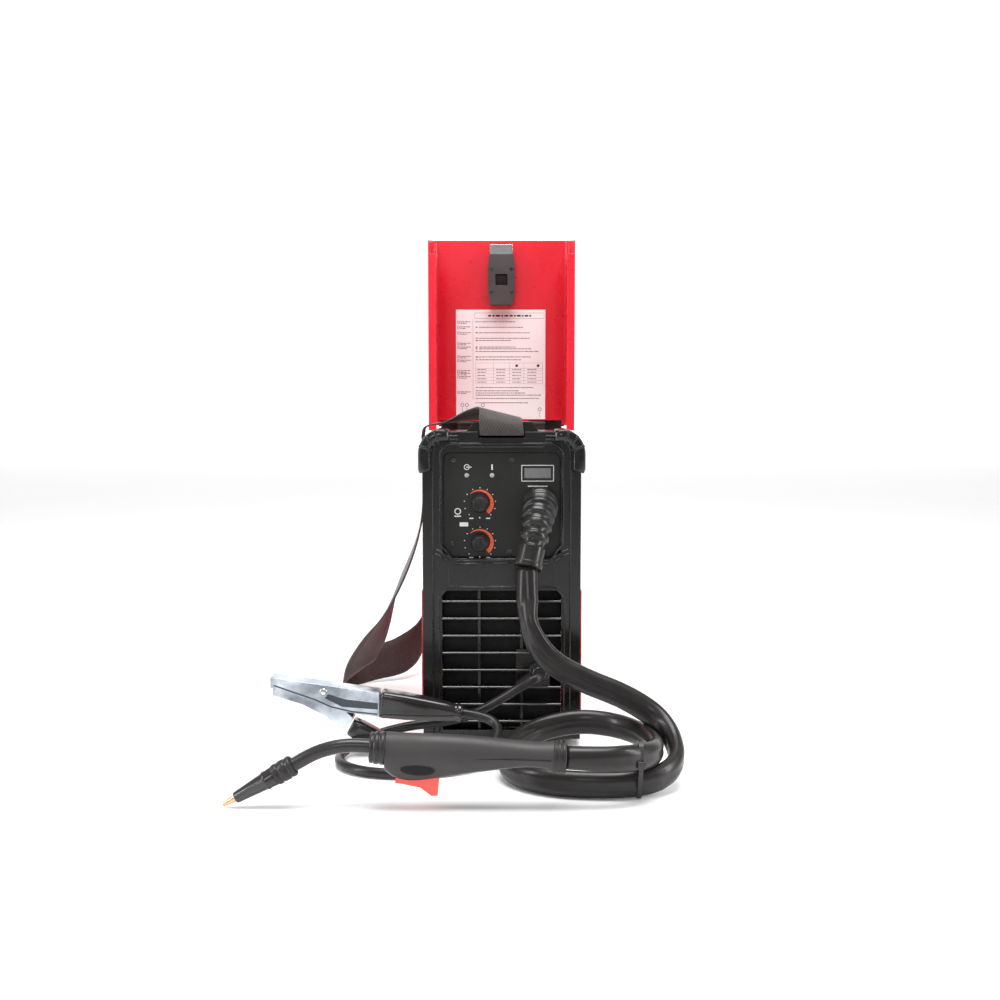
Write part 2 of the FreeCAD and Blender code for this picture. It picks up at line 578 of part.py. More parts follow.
def rear_panel():
    """Fan, rocker switch and the power cord's gland."""
    half, front = "fan_half", "fan_front"
    shell = box("fan_block", (f"-{half}", front, f"fan_z-{half}"), (f"2*{half}", "fan_depth", f"2*{half}"))
    duct = rod("fan_duct", "Y", (0, f"{front}-1", "fan_z"), f"{half}-3", "fan_depth+2")
    struts = [box("fan_strut_flat", (f"-{half}+1", f"{front}+fan_depth-3", "fan_z-2"), (f"2*{half}-2", 3, 4)),
              box("fan_strut_up", (-2, f"{front}+fan_depth-3", f"fan_z-{half}+1"), (4, 3, f"2*{half}-2"))]
    cup = rod("fan_cup", "Y", (0, f"{front}+fan_depth-6", "fan_z"), "fan_hub_radius", 6)
    pin = rod("fan_pin", "Y", (0, f"{front}+4", "fan_z"), 2, 16)
    keep(fuse("fan_frame", cut("fan_shell", shell, duct), *struts, cup, pin))
    hub = rod("rotor_hub", "Y", (0, f"{front}+2", "fan_z"), "fan_hub_radius", 15)
    blades = []
    for n in range(7):
        turn = Rotation(Vector(0, 1, 0), n * 360 / 7) * Rotation(Vector(1, 0, 0), 35)
        blade = doc.addObject("Part::Box", f"rotor_blade_{n}")
        blade.Label = f"rotor_blade_{n}"
        blade.setExpression("Length", linked("fan_half-3-1.5-15"))
        blade.setExpression("Width", "15")
        blade.setExpression("Height", "1.6")
        corner = turn.multVec(Vector(15, -7.5, -0.8))
        blade.Placement = Placement(corner + Vector(0, size("fan_front") + 10, size("fan_z")), turn)
        blades.append(blade)
    bore = rod("rotor_bore", "Y", (0, front, "fan_z"), "2+running_gap", 30)
    keep(cut("fan_rotor", fuse("rotor_solid", hub, *blades), bore))

    case = box("switch_case", ("switch_x-11", "rear_face-14", "switch_z-15"), (22, 16, 30))
    pocket = box("switch_pocket", ("switch_x-8.6", "rear_face-12", "switch_z-13"), (17.2, 20, 26))
    pin = rod("rocker_pin", "X", ("switch_x-8.8", "rear_face-2", "switch_z"), "peg_radius", 17.6)
    keep(fuse("power_switch", cut("switch_shell", case, pocket), pin))
    rocker = plate("rocker_body", "YZ_Plane",
                   (("rear_face-8", "switch_z-10"), ("rear_face+1", "switch_z-11.4"), ("rear_face+2.6", "switch_z"),
                    ("rear_face+5.4", "switch_z+10.4"), ("rear_face-6", "switch_z+10")), "switch_x-8", 16)
    pin_hole = rod("rocker_pin_hole", "X", ("switch_x-20", "rear_face-2", "switch_z"), "peg_radius+running_gap", 40)
    keep(cut("power_rocker", rocker, pin_hole))

    thread = rod("cord_thread", "Y", ("cord_x", "rear_face-10", "cord_z"), 8, 14)
    nut = rod("cord_nut", "Y", ("cord_x", "rear_face", "cord_z"), 12, 7)
    nose = taper("cord_nose", "Y", ("cord_x", "rear_face+7", "cord_z"), 10, 7.5, 8)
    bore = rod("cord_bore", "Y", ("cord_x", "rear_face-20", "cord_z"), "cord_radius", 50)
    keep(cut("power_cord_gland", fuse("cord_solid", thread, nut, nose), bore))


def on_gun(solid):
    """Move a piece drawn along +X from the gun's rear end onto the tilted line that the gun lies on."""
    turn = Rotation(Vector(0, 0, 1), 180) * Rotation(Vector(0, 1, 0), -size("gun_tilt"))
    place = Placement(Vector(size("gun_rear_x"), size("gun_y"), size("gun_rear_z")), turn)
    solid.Placement = place.multiply(solid.Placement)
    return solid


def gun():
    """Two handle shells between collars, a trigger, the bent neck, and the nozzle with its contact tip."""
    sections = []
    for n, (along, half_up, half_wide, drop) in enumerate(
            ((12, 15, 14.5, 0), (60, 14.5, 14, 0), (100, 19, 15, 3), (135, 22.5, 15.5, 7), (160, 22, 15.5, 7),
             (172, 18, 15, 3))):
        ring = doc.addObject("Part::Ellipse", f"grip_section_{n}")
        ring.setExpression("MajorRadius", str(half_up))
        ring.setExpression("MinorRadius", str(half_wide))
        ring.Placement = Placement(Vector(along, 0, -drop), Rotation(Vector(0, 1, 0), 90))
        sections.append(ring)
    grip = doc.addObject("Part::Loft", "grip_solid")
    grip.Sections = sections
    grip.Solid = True
    bore = rod("grip_bore", "X", (0, 0, 0), 9, 200)
    trigger_way = box("trigger_way", (118, -5.5, -46), (44, 11, 40))
    peg = rod("trigger_peg", "Y", (158, -5.5, -13.5), "peg_radius", 11)
    for side, low in (("left", 0.05), ("right", -40)):
        half = box(f"grip_half_{side}", (0, low, -60), (200, 39.95, 120))
        shell = doc.addObject("Part::Common", f"grip_shell_{side}")
        shell.Base, shell.Tool = grip, half
        hollow = (shell, bore, trigger_way)
        if side == "left":
            keep(on_gun(fuse("gun_handle_left", cut("left_shell_hollow", *hollow), peg)))
        else:
            keep(on_gun(cut("gun_handle_right", *hollow)))
    neck_turn = math.radians(size("neck_bend"))
    reach, radius = size("neck_straight"), size("neck_bend_radius")
    collar = rod("rear_collar_solid", "X", (0, 0, 0), "collar_radius", 12)
    keep(on_gun(cut("gun_rear_collar", collar, rod("rear_collar_bore", "X", (3, 0, 0), 9, 20))))
    collar = rod("front_collar_solid", "X", (172, 0, -1), "collar_radius", 15)
    keep(on_gun(cut("gun_front_collar", collar, rod("front_collar_bore", "X", (170, 0, 0), "neck_radius", 30))))

    line = Part.LineSegment(Vector(20, 0, 0), Vector(reach, 0, 0))
    middle = Vector(reach + radius * math.sin(neck_turn / 2), 0, -radius * (1 - math.cos(neck_turn / 2)))
    bend_end = Vector(reach + radius * math.sin(neck_turn), 0, -radius * (1 - math.cos(neck_turn)))
    heading = Vector(math.cos(neck_turn), 0, -math.sin(neck_turn))
    arc = Part.Arc(Vector(reach, 0, 0), middle, bend_end)
    after = Part.LineSegment(bend_end, bend_end + heading * size("neck_end"))
    path = Part.Wire([line.toShape(), arc.toShape(), after.toShape()])
    ring = Part.Wire(Part.Circle(Vector(20, 0, 0), Vector(1, 0, 0), size("neck_radius")).toShape())
    keep(on_gun(shaped("gun_neck", path.makePipeShell([ring], True, False))))

    down = Rotation(Vector(0, 1, 0), 90 + size("neck_bend"))
    for label, start, near, far, length in (("nozzle_ring", 0, "nozzle_radius", "nozzle_radius", 20),
                                            ("gun_nozzle", 20, "nozzle_radius-1", "nozzle_tip_radius", 44),
                                            ("contact_tip", 64, "tip_radius", "tip_radius-1.6", 14)):
        piece = doc.addObject("Part::Cone", label)
        piece.Label = label
        piece.setExpression("Radius1", linked(near))
        piece.setExpression("Radius2", linked(str(far) + ("-0.01" if near == far else "")))
        piece.setExpression("Height", str(length))
        piece.Placement = Placement(bend_end + heading * (size("neck_end") + start), down)
        keep(on_gun(piece))
    blade = plate("trigger_blade", "XZ_Plane",
                  ((-119, -10.5), (-161, -10.5), (-161, -33), (-154, -33.5), (-137, -36), (-126, -43.5),
                   (-120, -43), (-119.5, -30)),
                  -5, 10)
    blade.Placement = Placement(Vector(), Rotation(Vector(0, 0, 1), 180))
    peg_hole = rod("trigger_peg_hole", "Y", (158, -20, -13.5), "peg_radius+running_gap", 40)
    keep(on_gun(cut("gun_trigger", blade, peg_hole)))


def clamp():
    """Spring clamp of pressed channel: an upper lever with the lead's sleeve, a lower lever, rivet and spring."""
    y, half = "clamp_y", "clamp_half"
    upper = plate("upper_outline", "XZ_Plane", ((-249, 88), (-249, 77), (-225, 70), (-200, 62), (-180, 52), (-132, 45),
                                                (-132, 71), (-195, 80)), f"-({y})-{half}", f"2*{half}")
    inside = plate("upper_inside", "XZ_Plane", ((-251, 83), (-251, 70), (-200, 40), (-130, 30), (-130, 68.8), (-195, 78)),
                   f"-({y})-{half}+1.8", f"2*{half}-3.6")
    rivet_hole = rod("upper_rivet_hole", "Y", ("pivot_x", f"{y}-20", "pivot_z"), "rivet_radius", 40)
    keep(cut("clamp_upper_lever", upper, inside, rivet_hole))
    lower = plate("lower_outline", "XZ_Plane", ((-247, 75), (-247, 68), (-215, 58), (-190, 45), (-172, 30), (-160, 42),
                                                (-178, 60), (-184, 75), (-200, 77)), f"-({y})-{half}+2.3", f"2*{half}-4.6")
    gap = plate("lower_inside", "XZ_Plane", ((-251, 66), (-205, 52), (-176, 34), (-158, 45), (-180, 90), (-251, 90)),
                f"-({y})-{half}+4.1", f"2*{half}-8.2")
    bore = rod("lower_rivet_hole", "Y", ("pivot_x", f"{y}-20", "pivot_z"), "rivet_radius+running_gap", 40)
    keep(cut("clamp_lower_lever", lower, gap, bore))
    sleeve = doc.addObject("Part::Cone", "lower_sleeve_cone")
    sleeve.Radius1, sleeve.Radius2, sleeve.Height = 9.5, 8.5, 32
    sleeve.Placement = Placement(Vector(-165.6, size("clamp_y"), 35.6), Rotation(Vector(0, 0, 1), Vector(1, 0, -0.55)))
    keep(cut("clamp_lower_sleeve", sleeve, lower))
    grip = doc.addObject("Part::Cone", "clamp_upper_sleeve")
    grip.Radius1, grip.Radius2, grip.Height = 14, 9, 88
    grip.Placement = Placement(Vector(-130, size("clamp_y"), 57.5), Rotation(Vector(0, 0, 1), SLEEVE_HEADING))
    grip.Label = "clamp_upper_sleeve"
    keep(grip)
    keep(rod("clamp_rivet", "Y", ("pivot_x", f"{y}-{half}-1.2", "pivot_z"), "rivet_radius", f"2*{half}+2.4"))
    ring = rod("clamp_coil", "Y", ("pivot_x", f"{y}-7", "pivot_z"), 5.2, 14)
    keep(cut("clamp_spring", ring, rod("clamp_coil_bore", "Y", ("pivot_x", f"{y}-9", "pivot_z"), 4, 18)))


def cord(label, points, radius):
    """A cord's tube: straight runs between points with the largest arc each corner has room for."""
    points = [Vector(*point) for point in points]
    edges, here, radii = [], points[0], []
    for before, corner, after in zip(points, points[1:], points[2:]):
        into, out = (corner - before), (after - corner)
        reach = 0.45 * min(into.Length, out.Length)
        turn = into.getAngle(out)
        bend = reach / math.tan(turn / 2)
        radii.append(bend)
        start = corner - into.normalize() * reach
        end = corner + out.normalize() * reach
        inward = (out - into).normalize()
        middle = corner + inward * (bend / math.cos(turn / 2) - bend)
        edges += [Part.LineSegment(here, start).toShape(), Part.Arc(start, middle, end).toShape()]
        here = end
    edges.append(Part.LineSegment(here, points[-1]).toShape())
    path = Part.Wire(edges)
    ring = Part.Wire(Part.Circle(points[0], points[1] - points[0], radius).toShape())
    tube = path.makePipeShell([ring], True, False)
    expected = math.pi * radius ** 2 * path.Length
    print(f"{label}: length {path.Length:.0f}, smallest arc {min(radii):.0f}, volume ratio {tube.Volume / expected:.4f}")
    print("   arcs", [round(bend) for bend in radii])
    print("   runs", [round((b - a).Length) for a, b in zip(points, points[1:])])
    keep(shaped(label, tube))


def ribbon(label, stations, width, thick):
    """A strap through stations of (middle, direction across); its face is square to its run."""
    sections = []
    for n, (middle, across) in enumerate(stations):
        before, after = stations[max(n - 1, 0)][0], stations[min(n + 1, len(stations) - 1)][0]
        middle, across = Vector(*middle), Vector(*across).normalize()
        face = (Vector(*after) - Vector(*before)).cross(across).normalize()
        corners = [middle + across * (a * width / 2) + face * (b * thick / 2) for a, b in
                   ((-1, -1), (1, -1), (1, 1), (-1, 1))]
        sections.append(Part.makePolygon(corners + corners[:1]))
    return Part.makeLoft(sections, True, True)


def strap():
    """The carrying strap: through the front bracket, over the nose, down to the floor and up to the rear bracket."""
    keep(shaped("shoulder_strap", ribbon("shoulder_strap", STRAP, size("strap_width"), size("strap_thick"))))


def cable_tie():
    """A flat nylon band round the two strands of the gun lead."""
    outer = box("tie_outer", (131.75, -426.5, 0.4), (4.5, 43, 61))
    outer = rounded("tie_outer_round", outer, 11, edge_along(Vector(1, 0, 0)))
    inner = box("tie_inner", (130, -425.2, 1.7), (20, 40.4, 58.4))
    inner = rounded("tie_inner_round", inner, 9.7, edge_along(Vector(1, 0, 0)))
    keep(cut("cable_tie", outer, inner))


DRIVE_Z = "gun_height-drive_roll_radius-roll_nip/2"
IDLE_Z = "gun_height+idle_roll_radius+roll_nip/2"
SLEEVE_HEADING = Vector(1, 0, -0.13)
GUN_CORD = [(27, -268, 208), (26, -279, 172), (30, -289, 141), (50, -296, 113), (87, -301, 94), (126, -305, 80),
            (160, -311, 60), (176, -334, 41), (176, -366, 25), (154, -391, 16), (120, -401, 13.8), (80, -400, 13.6),
            (42, -390, 13.6), (12, -364, 14), (1, -328, 18), (14, -293, 28), (44, -268, 36), (82, -258, 41),
            (118, -268, 40), (143, -295, 38), (153, -331, 38), (155, -367, 40), (145, -399, 42.8), (121, -421, 45.4),
            (96, -429, 47.26), (61, -429, 49.3)]
EARTH_CORD = [(41.5, -225, 84.6), (41.5, -238, 84.6), (24, -242, 77), (-3, -233, 57), (-32, -225, 39),
              (-66, -222, 30), (-102, -221, 26), (-136, -224, 18), (-162, -240, 10), (-174, -268, 6),
              (-170, -302, 6), (-146, -328, 6), (-110, -338, 6), (-76, -334, 6), (-46, -320, 8), (-21, -302, 13),
              (-6, -279, 24), (-3, -256, 36), (-20.9, -245, 43.33), (-42.73, -245, 46.16)]
STRAP = [((0, -190, 347.3), (1, 0, 0)), ((0, -210, 347.3), (1, 0, 0)), ((0, -214, 350), (1, 0, 0)),
         ((-1, -212, 362), (1, 0, -0.15)), ((-2, -200, 370), (1, 0, -0.25)),
         ((-14, -184, 369), (1, 0.35, -0.2)), ((-50, -154, 360), (0.5, 0.85, 0)),
         ((-84, -134, 354), (0.05, 1, 0)), ((-89.7, -134, 344.5), (0, 1, 0)), ((-89.6, -134, 330), (0, 1, 0)),
         ((-89.9, -126, 262), (0.02, 0.97, 0.25)), ((-104, -96, 205), (0.1, 0.87, 0.47)),
         ((-132, -58, 142), (0.2, 0.83, 0.5)), ((-157, -18, 90), (0.55, 0.64, 0.2)),
         ((-175, 12, 54), (0.8, 0.25, 0.35)), ((-186, 36, 30), (0.8, -0.1, 0.6)),
         ((-200, 78, 24), (0.3, 0.2, 0.9)), ((-178, 106, 26), (-0.3, 0.1, 0.95)),
         ((-135, 128, 34), (-0.3, 0, 0.95)), ((-108, 170, 60), (0, -0.3, 1)),
         ((-104, 214, 130), (0, -0.5, 0.9)), ((-98, 242, 240), (0.3, -0.5, 0.3)),
         ((-62, 250, 330), (0.7, 0, 0.5)), ((-20, 234, 372), (0.95, 0, 0.1)), ((-2, 216, 376), (1, 0, 0)),
         ((0, 196, 374), (1, 0, 0)), ((0, 193.5, 366), (1, 0, 0)), ((0, 194, 357), (1, 0, 0)),
         ((0, 199, 355.6), (1, 0, 0)), ((0, 216, 355.6), (1, 0, 0))]

base_chassis()
front_bezel()
rear_bezel()
nose_wrap()
partition()
hood()
hinge()
latch()
control_panel()
gun_outlet()
earth_outlet()
wire_drive()
spool()
electronics()
rear_panel()
gun()
clamp()
cord("gun_cable", GUN_CORD, size("gun_cable") / 2)
cord("earth_cable", EARTH_CORD, size("earth_cable") / 2)
cable_tie()
strap()

doc.recompute()
os.makedirs("parts", exist_ok=True)
failed = [item.Label for item in doc.Objects if {"Invalid", "Error"} & set(item.State)]
failed += [label for label, item in NODES.items() if item.Shape.isNull() or not item.Shape.isValid()]
if failed:
    raise SystemExit(f"failed objects: {failed}")
for label, item in NODES.items():
    item.Shape.exportStep(f"parts/{label}.step")
print(len(NODES), "nodes")
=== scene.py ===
"""Wire-feed welding machine with its hood up, gun and earth clamp lying in front and the strap at its left."""
import bmesh
import bpy
import math
import random
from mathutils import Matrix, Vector


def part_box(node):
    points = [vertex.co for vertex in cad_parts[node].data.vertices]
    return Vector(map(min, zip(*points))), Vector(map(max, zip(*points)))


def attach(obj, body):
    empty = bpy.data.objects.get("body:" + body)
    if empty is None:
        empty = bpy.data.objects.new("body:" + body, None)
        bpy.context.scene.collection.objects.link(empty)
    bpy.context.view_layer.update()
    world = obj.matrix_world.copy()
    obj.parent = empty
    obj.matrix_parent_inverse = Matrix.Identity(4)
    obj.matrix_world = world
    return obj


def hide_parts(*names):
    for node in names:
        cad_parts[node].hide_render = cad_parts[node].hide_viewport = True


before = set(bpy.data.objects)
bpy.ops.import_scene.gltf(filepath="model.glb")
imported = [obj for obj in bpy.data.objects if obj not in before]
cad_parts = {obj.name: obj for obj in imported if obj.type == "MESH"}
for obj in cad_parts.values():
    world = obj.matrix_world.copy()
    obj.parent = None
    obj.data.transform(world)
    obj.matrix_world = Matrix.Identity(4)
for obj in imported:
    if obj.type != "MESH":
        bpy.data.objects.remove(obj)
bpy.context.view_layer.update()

# Camera: a lens of about 50 mm, a metre and a half from the front panel and a little above the case,
# tipped down by five degrees.
front_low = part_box("front_bezel")[0]
camera = bpy.data.objects.new("camera", bpy.data.cameras.new("camera"))
camera.data.lens = 49.46
camera.data.sensor_width = 36
camera.location = (-0.0019, front_low.y - 1.5, 0.414)
camera.rotation_euler = (math.radians(90 - 5.28), 0, 0)
bpy.context.collection.objects.link(camera)
bpy.context.scene.camera = camera


# Gun lead: a flat-sided black rubber hose that holds the wire liner, the power strands and the trigger wires.
# It is bonded in the relief at the panel and in the gun's rear collar, and lies on its edge in one tied loop.
def node_tree(name):
    """A new material with its node tree, its shader and the piece's own coordinates."""
    material = bpy.data.materials.new(name)
    material.use_nodes = True
    tree = material.node_tree
    shader = tree.nodes["Principled BSDF"]
    place = tree.nodes.new("ShaderNodeTexCoord").outputs["Object"]
    return material, tree, shader, place


def speckle(tree, place, scale, detail=3.0, stretch=(1, 1, 1)):
    """A noise with its grain count per metre, stretched along the piece's axes."""
    mapping = tree.nodes.new("ShaderNodeMapping")
    mapping.inputs["Scale"].default_value = stretch
    tree.links.new(place, mapping.inputs["Vector"])
    noise = tree.nodes.new("ShaderNodeTexNoise")
    noise.inputs["Scale"].default_value = scale
    noise.inputs["Detail"].default_value = detail
    tree.links.new(mapping.outputs[0], noise.inputs["Vector"])
    return noise.outputs["Fac"]


def spread(tree, value, low, high, start=0.3, end=0.7):
    """A value's middle range stretched to run from low to high."""
    span = tree.nodes.new("ShaderNodeMapRange")
    span.inputs["From Min"].default_value = start
    span.inputs["From Max"].default_value = end
    span.inputs["To Min"].default_value = low
    span.inputs["To Max"].default_value = high
    tree.links.new(value, span.inputs["Value"])
    return span.outputs[0]


def colours(tree, factor, first, second):
    """One colour running into another; either may be a socket."""
    mix = tree.nodes.new("ShaderNodeMix")
    mix.data_type = "RGBA"
    tree.links.new(factor, mix.inputs["Factor"])
    for socket, colour in ((mix.inputs[6], first), (mix.inputs[7], second)):
        if isinstance(colour, tuple):
            socket.default_value = (*colour, 1)
        else:
            tree.links.new(colour, socket)
    return mix.outputs[2]


def relief(tree, height, strength, distance, edge=0.0):
    """Bump from a height, over corners rounded by a radius."""
    bump = tree.nodes.new("ShaderNodeBump")
    bump.inputs["Strength"].default_value = strength
    bump.inputs["Distance"].default_value = distance
    tree.links.new(height, bump.inputs["Height"])
    if edge:
        bevel = tree.nodes.new("ShaderNodeBevel")
        bevel.samples = 4
        bevel.inputs["Radius"].default_value = edge
        tree.links.new(bevel.outputs[0], bump.inputs["Normal"])
    return bump.outputs[0]


def wear_and_edge_highlight(tree, place, radius, patch=90):
    """Where corners are painted lighter, for rubbed wear and as a painted edge highlight: the rounded normal
    leaves the true one, broken up by a noise.
    """
    bevel = tree.nodes.new("ShaderNodeBevel")
    bevel.samples = 4
    bevel.inputs["Radius"].default_value = radius
    geometry = tree.nodes.new("ShaderNodeNewGeometry")
    facing = tree.nodes.new("ShaderNodeVectorMath")
    facing.operation = "DOT_PRODUCT"
    tree.links.new(bevel.outputs[0], facing.inputs[0])
    tree.links.new(geometry.outputs["Normal"], facing.inputs[1])
    rubbed = tree.nodes.new("ShaderNodeMath")
    rubbed.operation = "MULTIPLY"
    tree.links.new(spread(tree, facing.outputs["Value"], 1, 0, 0.8, 0.97), rubbed.inputs[0])
    tree.links.new(spread(tree, speckle(tree, place, patch, 6), 0, 1, 0.45, 0.6), rubbed.inputs[1])
    return rubbed.outputs[0]


def moulded(name, dark, light, roughness, grain=900, depth=0.3, edge=0.0012, edge_wear_and_highlight=None, coat=0.0):
    """Moulded plastic or rubber: cloudy colour, fine grain, soft corners and edges painted lighter, as rubbed
    wear and as a painted edge highlight.
    """
    material, tree, shader, place = node_tree(name)
    colour = colours(tree, spread(tree, speckle(tree, place, 14, 4), 0, 1), dark, light)
    # Lighter corners: rubbed wear and a painted edge highlight.
    if edge_wear_and_highlight:
        colour = colours(tree, wear_and_edge_highlight(tree, place, edge * 1.3), colour, edge_wear_and_highlight)
    tree.links.new(colour, shader.inputs["Base Color"])
    smudge = speckle(tree, place, 38, 5)
    tree.links.new(spread(tree, smudge, roughness - 0.07, roughness + 0.07), shader.inputs["Roughness"])
    shader.inputs["Specular IOR Level"].default_value = 0.3
    shader.inputs["Coat Weight"].default_value = coat
    shader.inputs["Coat Roughness"].default_value = 0.12
    tree.links.new(relief(tree, speckle(tree, place, grain, 2), depth, 0.0001, edge),
                   shader.inputs["Normal"])
    return material


def add_mesh(name, vertices, faces, material, smooth=True):
    """A mesh object in the frame, with merged doubles and outward faces."""
    data = bpy.data.meshes.new(name)
    data.from_pydata([tuple(vertex) for vertex in vertices], [], faces)
    tidy = bmesh.new()
    tidy.from_mesh(data)
    bmesh.ops.remove_doubles(tidy, verts=tidy.verts, dist=1e-7)
    bmesh.ops.recalc_face_normals(tidy, faces=tidy.faces)
    tidy.to_mesh(data)
    tidy.free()
    data.materials.append(material)
    for face in data.polygons:
        face.use_smooth = smooth
    piece = bpy.data.objects.new(name, data)
    bpy.context.collection.objects.link(piece)
    return piece


def sweep(rings, closed=False):
    """Vertices and faces of equal rings joined one after another, capped unless they close."""
    count = len(rings[0])
    vertices = [point for ring in rings for point in ring]
    faces = []
    for n in range(len(rings) if closed else len(rings) - 1):
        here = n * count
        there = (n + 1) % len(rings) * count
        faces += [(here + m, here + (m + 1) % count, there + (m + 1) % count,
                   there + m) for m in range(count)]
    if not closed:
        faces += [tuple(range(count))[::-1], tuple((len(rings) - 1) * count + m for m in range(count))]
    return vertices, faces


def route_line(name, points):
    """A cord's route as one NURBS curve with no thickness."""
    curve = bpy.data.curves.new(name, "CURVE")
    curve.dimensions = "3D"
    spline = curve.splines.new("NURBS")
    spline.points.add(len(points) - 1)
    for target, point in zip(spline.points, points):
        target.co = (*point, 1)
    spline.order_u = 3
    spline.use_endpoint_u = True
    spline.resolution_u = 14
    piece = bpy.data.objects.new(name, curve)
    bpy.context.collection.objects.link(piece)
    return piece


def read_line(piece):
    """The points of a curve that has no thickness; the curve is removed."""
    data = bpy.data.meshes.new_from_object(piece)
    points = [vertex.co.copy() for vertex in data.vertices]
    bpy.data.objects.remove(piece)
    return points


lead_rubber = moulded("lead_rubber", (0.010, 0.0088, 0.0085), (0.019, 0.0165, 0.016), 0.34, grain=420,
                      depth=0.25,
                      edge=0, coat=0.12)
gun_route = [Vector(point) / 1000 for point in (
    (27, -268, 208), (26, -279, 172), (30, -289, 141), (50, -296, 113), (87, -301, 94), (126, -305, 80),
    (160, -311, 60), (176, -334, 41), (176, -366, 25), (154, -391, 16), (120, -401, 13.8), (80, -400, 13.6),
    (42, -390, 13.6), (12, -364, 14), (1, -328, 18), (14, -293, 28), (44, -268, 36), (82, -258, 41),
    (118, -268, 40), (143, -295, 38), (153, -331, 38), (155, -367, 40), (145, -399, 42.8), (121, -421,
                                                                                            45.4),
    (96, -429, 47.26), (61, -429, 49.3))]
lead_line = read_line(route_line("gun_route", gun_route))
lead_tall, lead_thin = 0.0265, 0.0175
lead_rings = []
side_before = None
for n, spot in enumerate(lead_line):
    ahead = lead_line[min(n + 1, len(lead_line) - 1)]
    behind = lead_line[max(n - 1, 0)]
    heading = (ahead - behind).normalized()
    share = n / (len(lead_line) - 1)
    if side_before is None:
        side_before = Vector((0.35, 1, 0))
    flat = Vector((0, 0, 1)).cross(heading)
    wanted = flat.normalized() if flat.length > 0.3 else side_before
    if wanted.dot(side_before) < 0:
        wanted = -wanted
    side = side_before.lerp(wanted, 0.25)
    side = (side - heading * side.dot(heading)).normalized()
    side_before = side
    up = side.cross(heading).normalized()
    ease = min(1, share / 0.06, (1 - share) / 0.05)
    tall = 0.0225 + (lead_tall - 0.0225) * ease
    thin = 0.0205 + (lead_thin - 0.0205) * ease
    ring = []
    for m in range(32):
        angle = 2 * math.pi * m / 32
        across, rise = math.cos(angle), math.sin(angle)
        dent = 1 - 0.12 * ease * math.exp(-((rise / 0.2) ** 2))
        ring.append(spot + side * across * dent * thin / 2 + up * rise * tall / 2)
    lead_rings.append(ring)
gun_lead = add_mesh("gun_lead", *sweep(lead_rings), lead_rubber)
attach(gun_lead, "case")
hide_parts("gun_cable")


# Earth lead: a thinner single-core welding cable that runs from its gland to the sleeve of the clamp.
# It is a round extruded rubber cable, so it is one smooth curve.
earth_rubber = moulded("earth_rubber", (0.009, 0.008, 0.008), (0.018, 0.016, 0.0155), 0.36, grain=700,
                       depth=0.25,
                       edge=0, coat=0.1)
earth_route = [Vector(point) / 1000 for point in (
    (41.5, -225, 84.6), (41.5, -238, 84.6), (24, -242, 77), (-3, -233, 57), (-32, -225, 39), (-66, -222,
                                                                                              30),
    (-102, -221, 26), (-136, -224, 18), (-162, -240, 10), (-174, -268, 6), (-170, -302, 6), (-146, -328, 6),
    (-110, -338, 6), (-76, -334, 6), (-46, -320, 8), (-21, -302, 13), (-6, -279, 24), (-3, -256, 36),
    (-20.9, -245, 43.33), (-42.73, -245, 46.16))]
earth_lead = route_line("earth_lead", earth_route)
earth_lead.data.bevel_depth = 0.0105 / 2
earth_lead.data.bevel_resolution = 6
earth_lead.data.use_fill_caps = True
earth_lead.data.materials.append(earth_rubber)
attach(earth_lead, "case")
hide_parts("earth_cable")


# Nylon tie: a flat ratchet strip pulled round two strands of the gun lead, with its square lock outside.
# It holds the loop together.
def block(name, low, high, material, edge=0.0006, steps=2):
    """A rectangular piece with rounded edges."""
    (x0, y0, z0), (x1, y1, z1) = low, high
    corners = [(x, y, z) for x in (x0, x1) for y in (y0, y1) for z in (z0, z1)]
    faces = [(0, 1, 3, 2), (4, 6, 7, 5), (0, 4, 5, 1), (2, 3, 7, 6), (0, 2, 6, 4), (1, 5, 7, 3)]
    piece = add_mesh(name, corners, faces, material)
    bevel = piece.modifiers.new("rounding", "BEVEL")
    bevel.width = edge
    bevel.segments = steps
    return piece


nylon = moulded("tie_nylon", (0.03, 0.029, 0.029), (0.05, 0.048, 0.047), 0.3, grain=1500, depth=0.15,
                edge=0)
tie_x = 0.134
tie_wide = 0.0044
tie_thick = 0.0012
strand_rings = [ring for ring in lead_rings if abs(sum((point.x for point in ring)) / len(ring) - tie_x) < 0.006
                and sum((point.y for point in ring)) / len(ring) < -0.375]
strand_points = [(point.y,
                  point.z) for ring in strand_rings for point in ring if abs(point.x - tie_x) < 0.004]


def hull(points):
    """The convex outline round points in a plane, counter-clockwise."""
    points = sorted(set(points))
    chains = []
    for order in (points, points[::-1]):
        chain = []
        for point in order:
            while len(chain) > 1 and ((chain[-1][0] - chain[-2][0]) * (point[1] - chain[-2][1])
                                      - (chain[-1][1] - chain[-2][1]) * (point[0] - chain[-2][0])) <= 0:
                chain.pop()
            chain.append(point)
        chains.append(chain[:-1])
    return chains[0] + chains[1]


tie_outline = hull(strand_points)
tie_middle = [sum(axis) / len(tie_outline) for axis in zip(*tie_outline)]
tie_rings = []
for y, z in tie_outline:
    out = Vector((y - tie_middle[0], z - tie_middle[1])).normalized()
    inner = Vector((y, z)) + out * 0.0001
    outer = Vector((y, z)) + out * (0.0001 + tie_thick)
    tie_rings.append([(tie_x - tie_wide / 2, *inner), (tie_x + tie_wide / 2, *inner),
                      (tie_x + tie_wide / 2, *outer), (tie_x - tie_wide / 2, *outer)])
lead_tie = add_mesh("lead_tie", *sweep(tie_rings, closed=True), nylon, smooth=False)
tie_front = min(tie_outline)
tie_lock = block("tie_lock", (tie_x - 0.004, tie_front[0] - 0.0052, tie_front[1] - 0.0035),
                 (tie_x + 0.004, tie_front[0] - 0.0008, tie_front[1] + 0.0035), nylon)
for piece in (lead_tie, tie_lock):
    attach(piece, "case")
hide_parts("cable_tie")


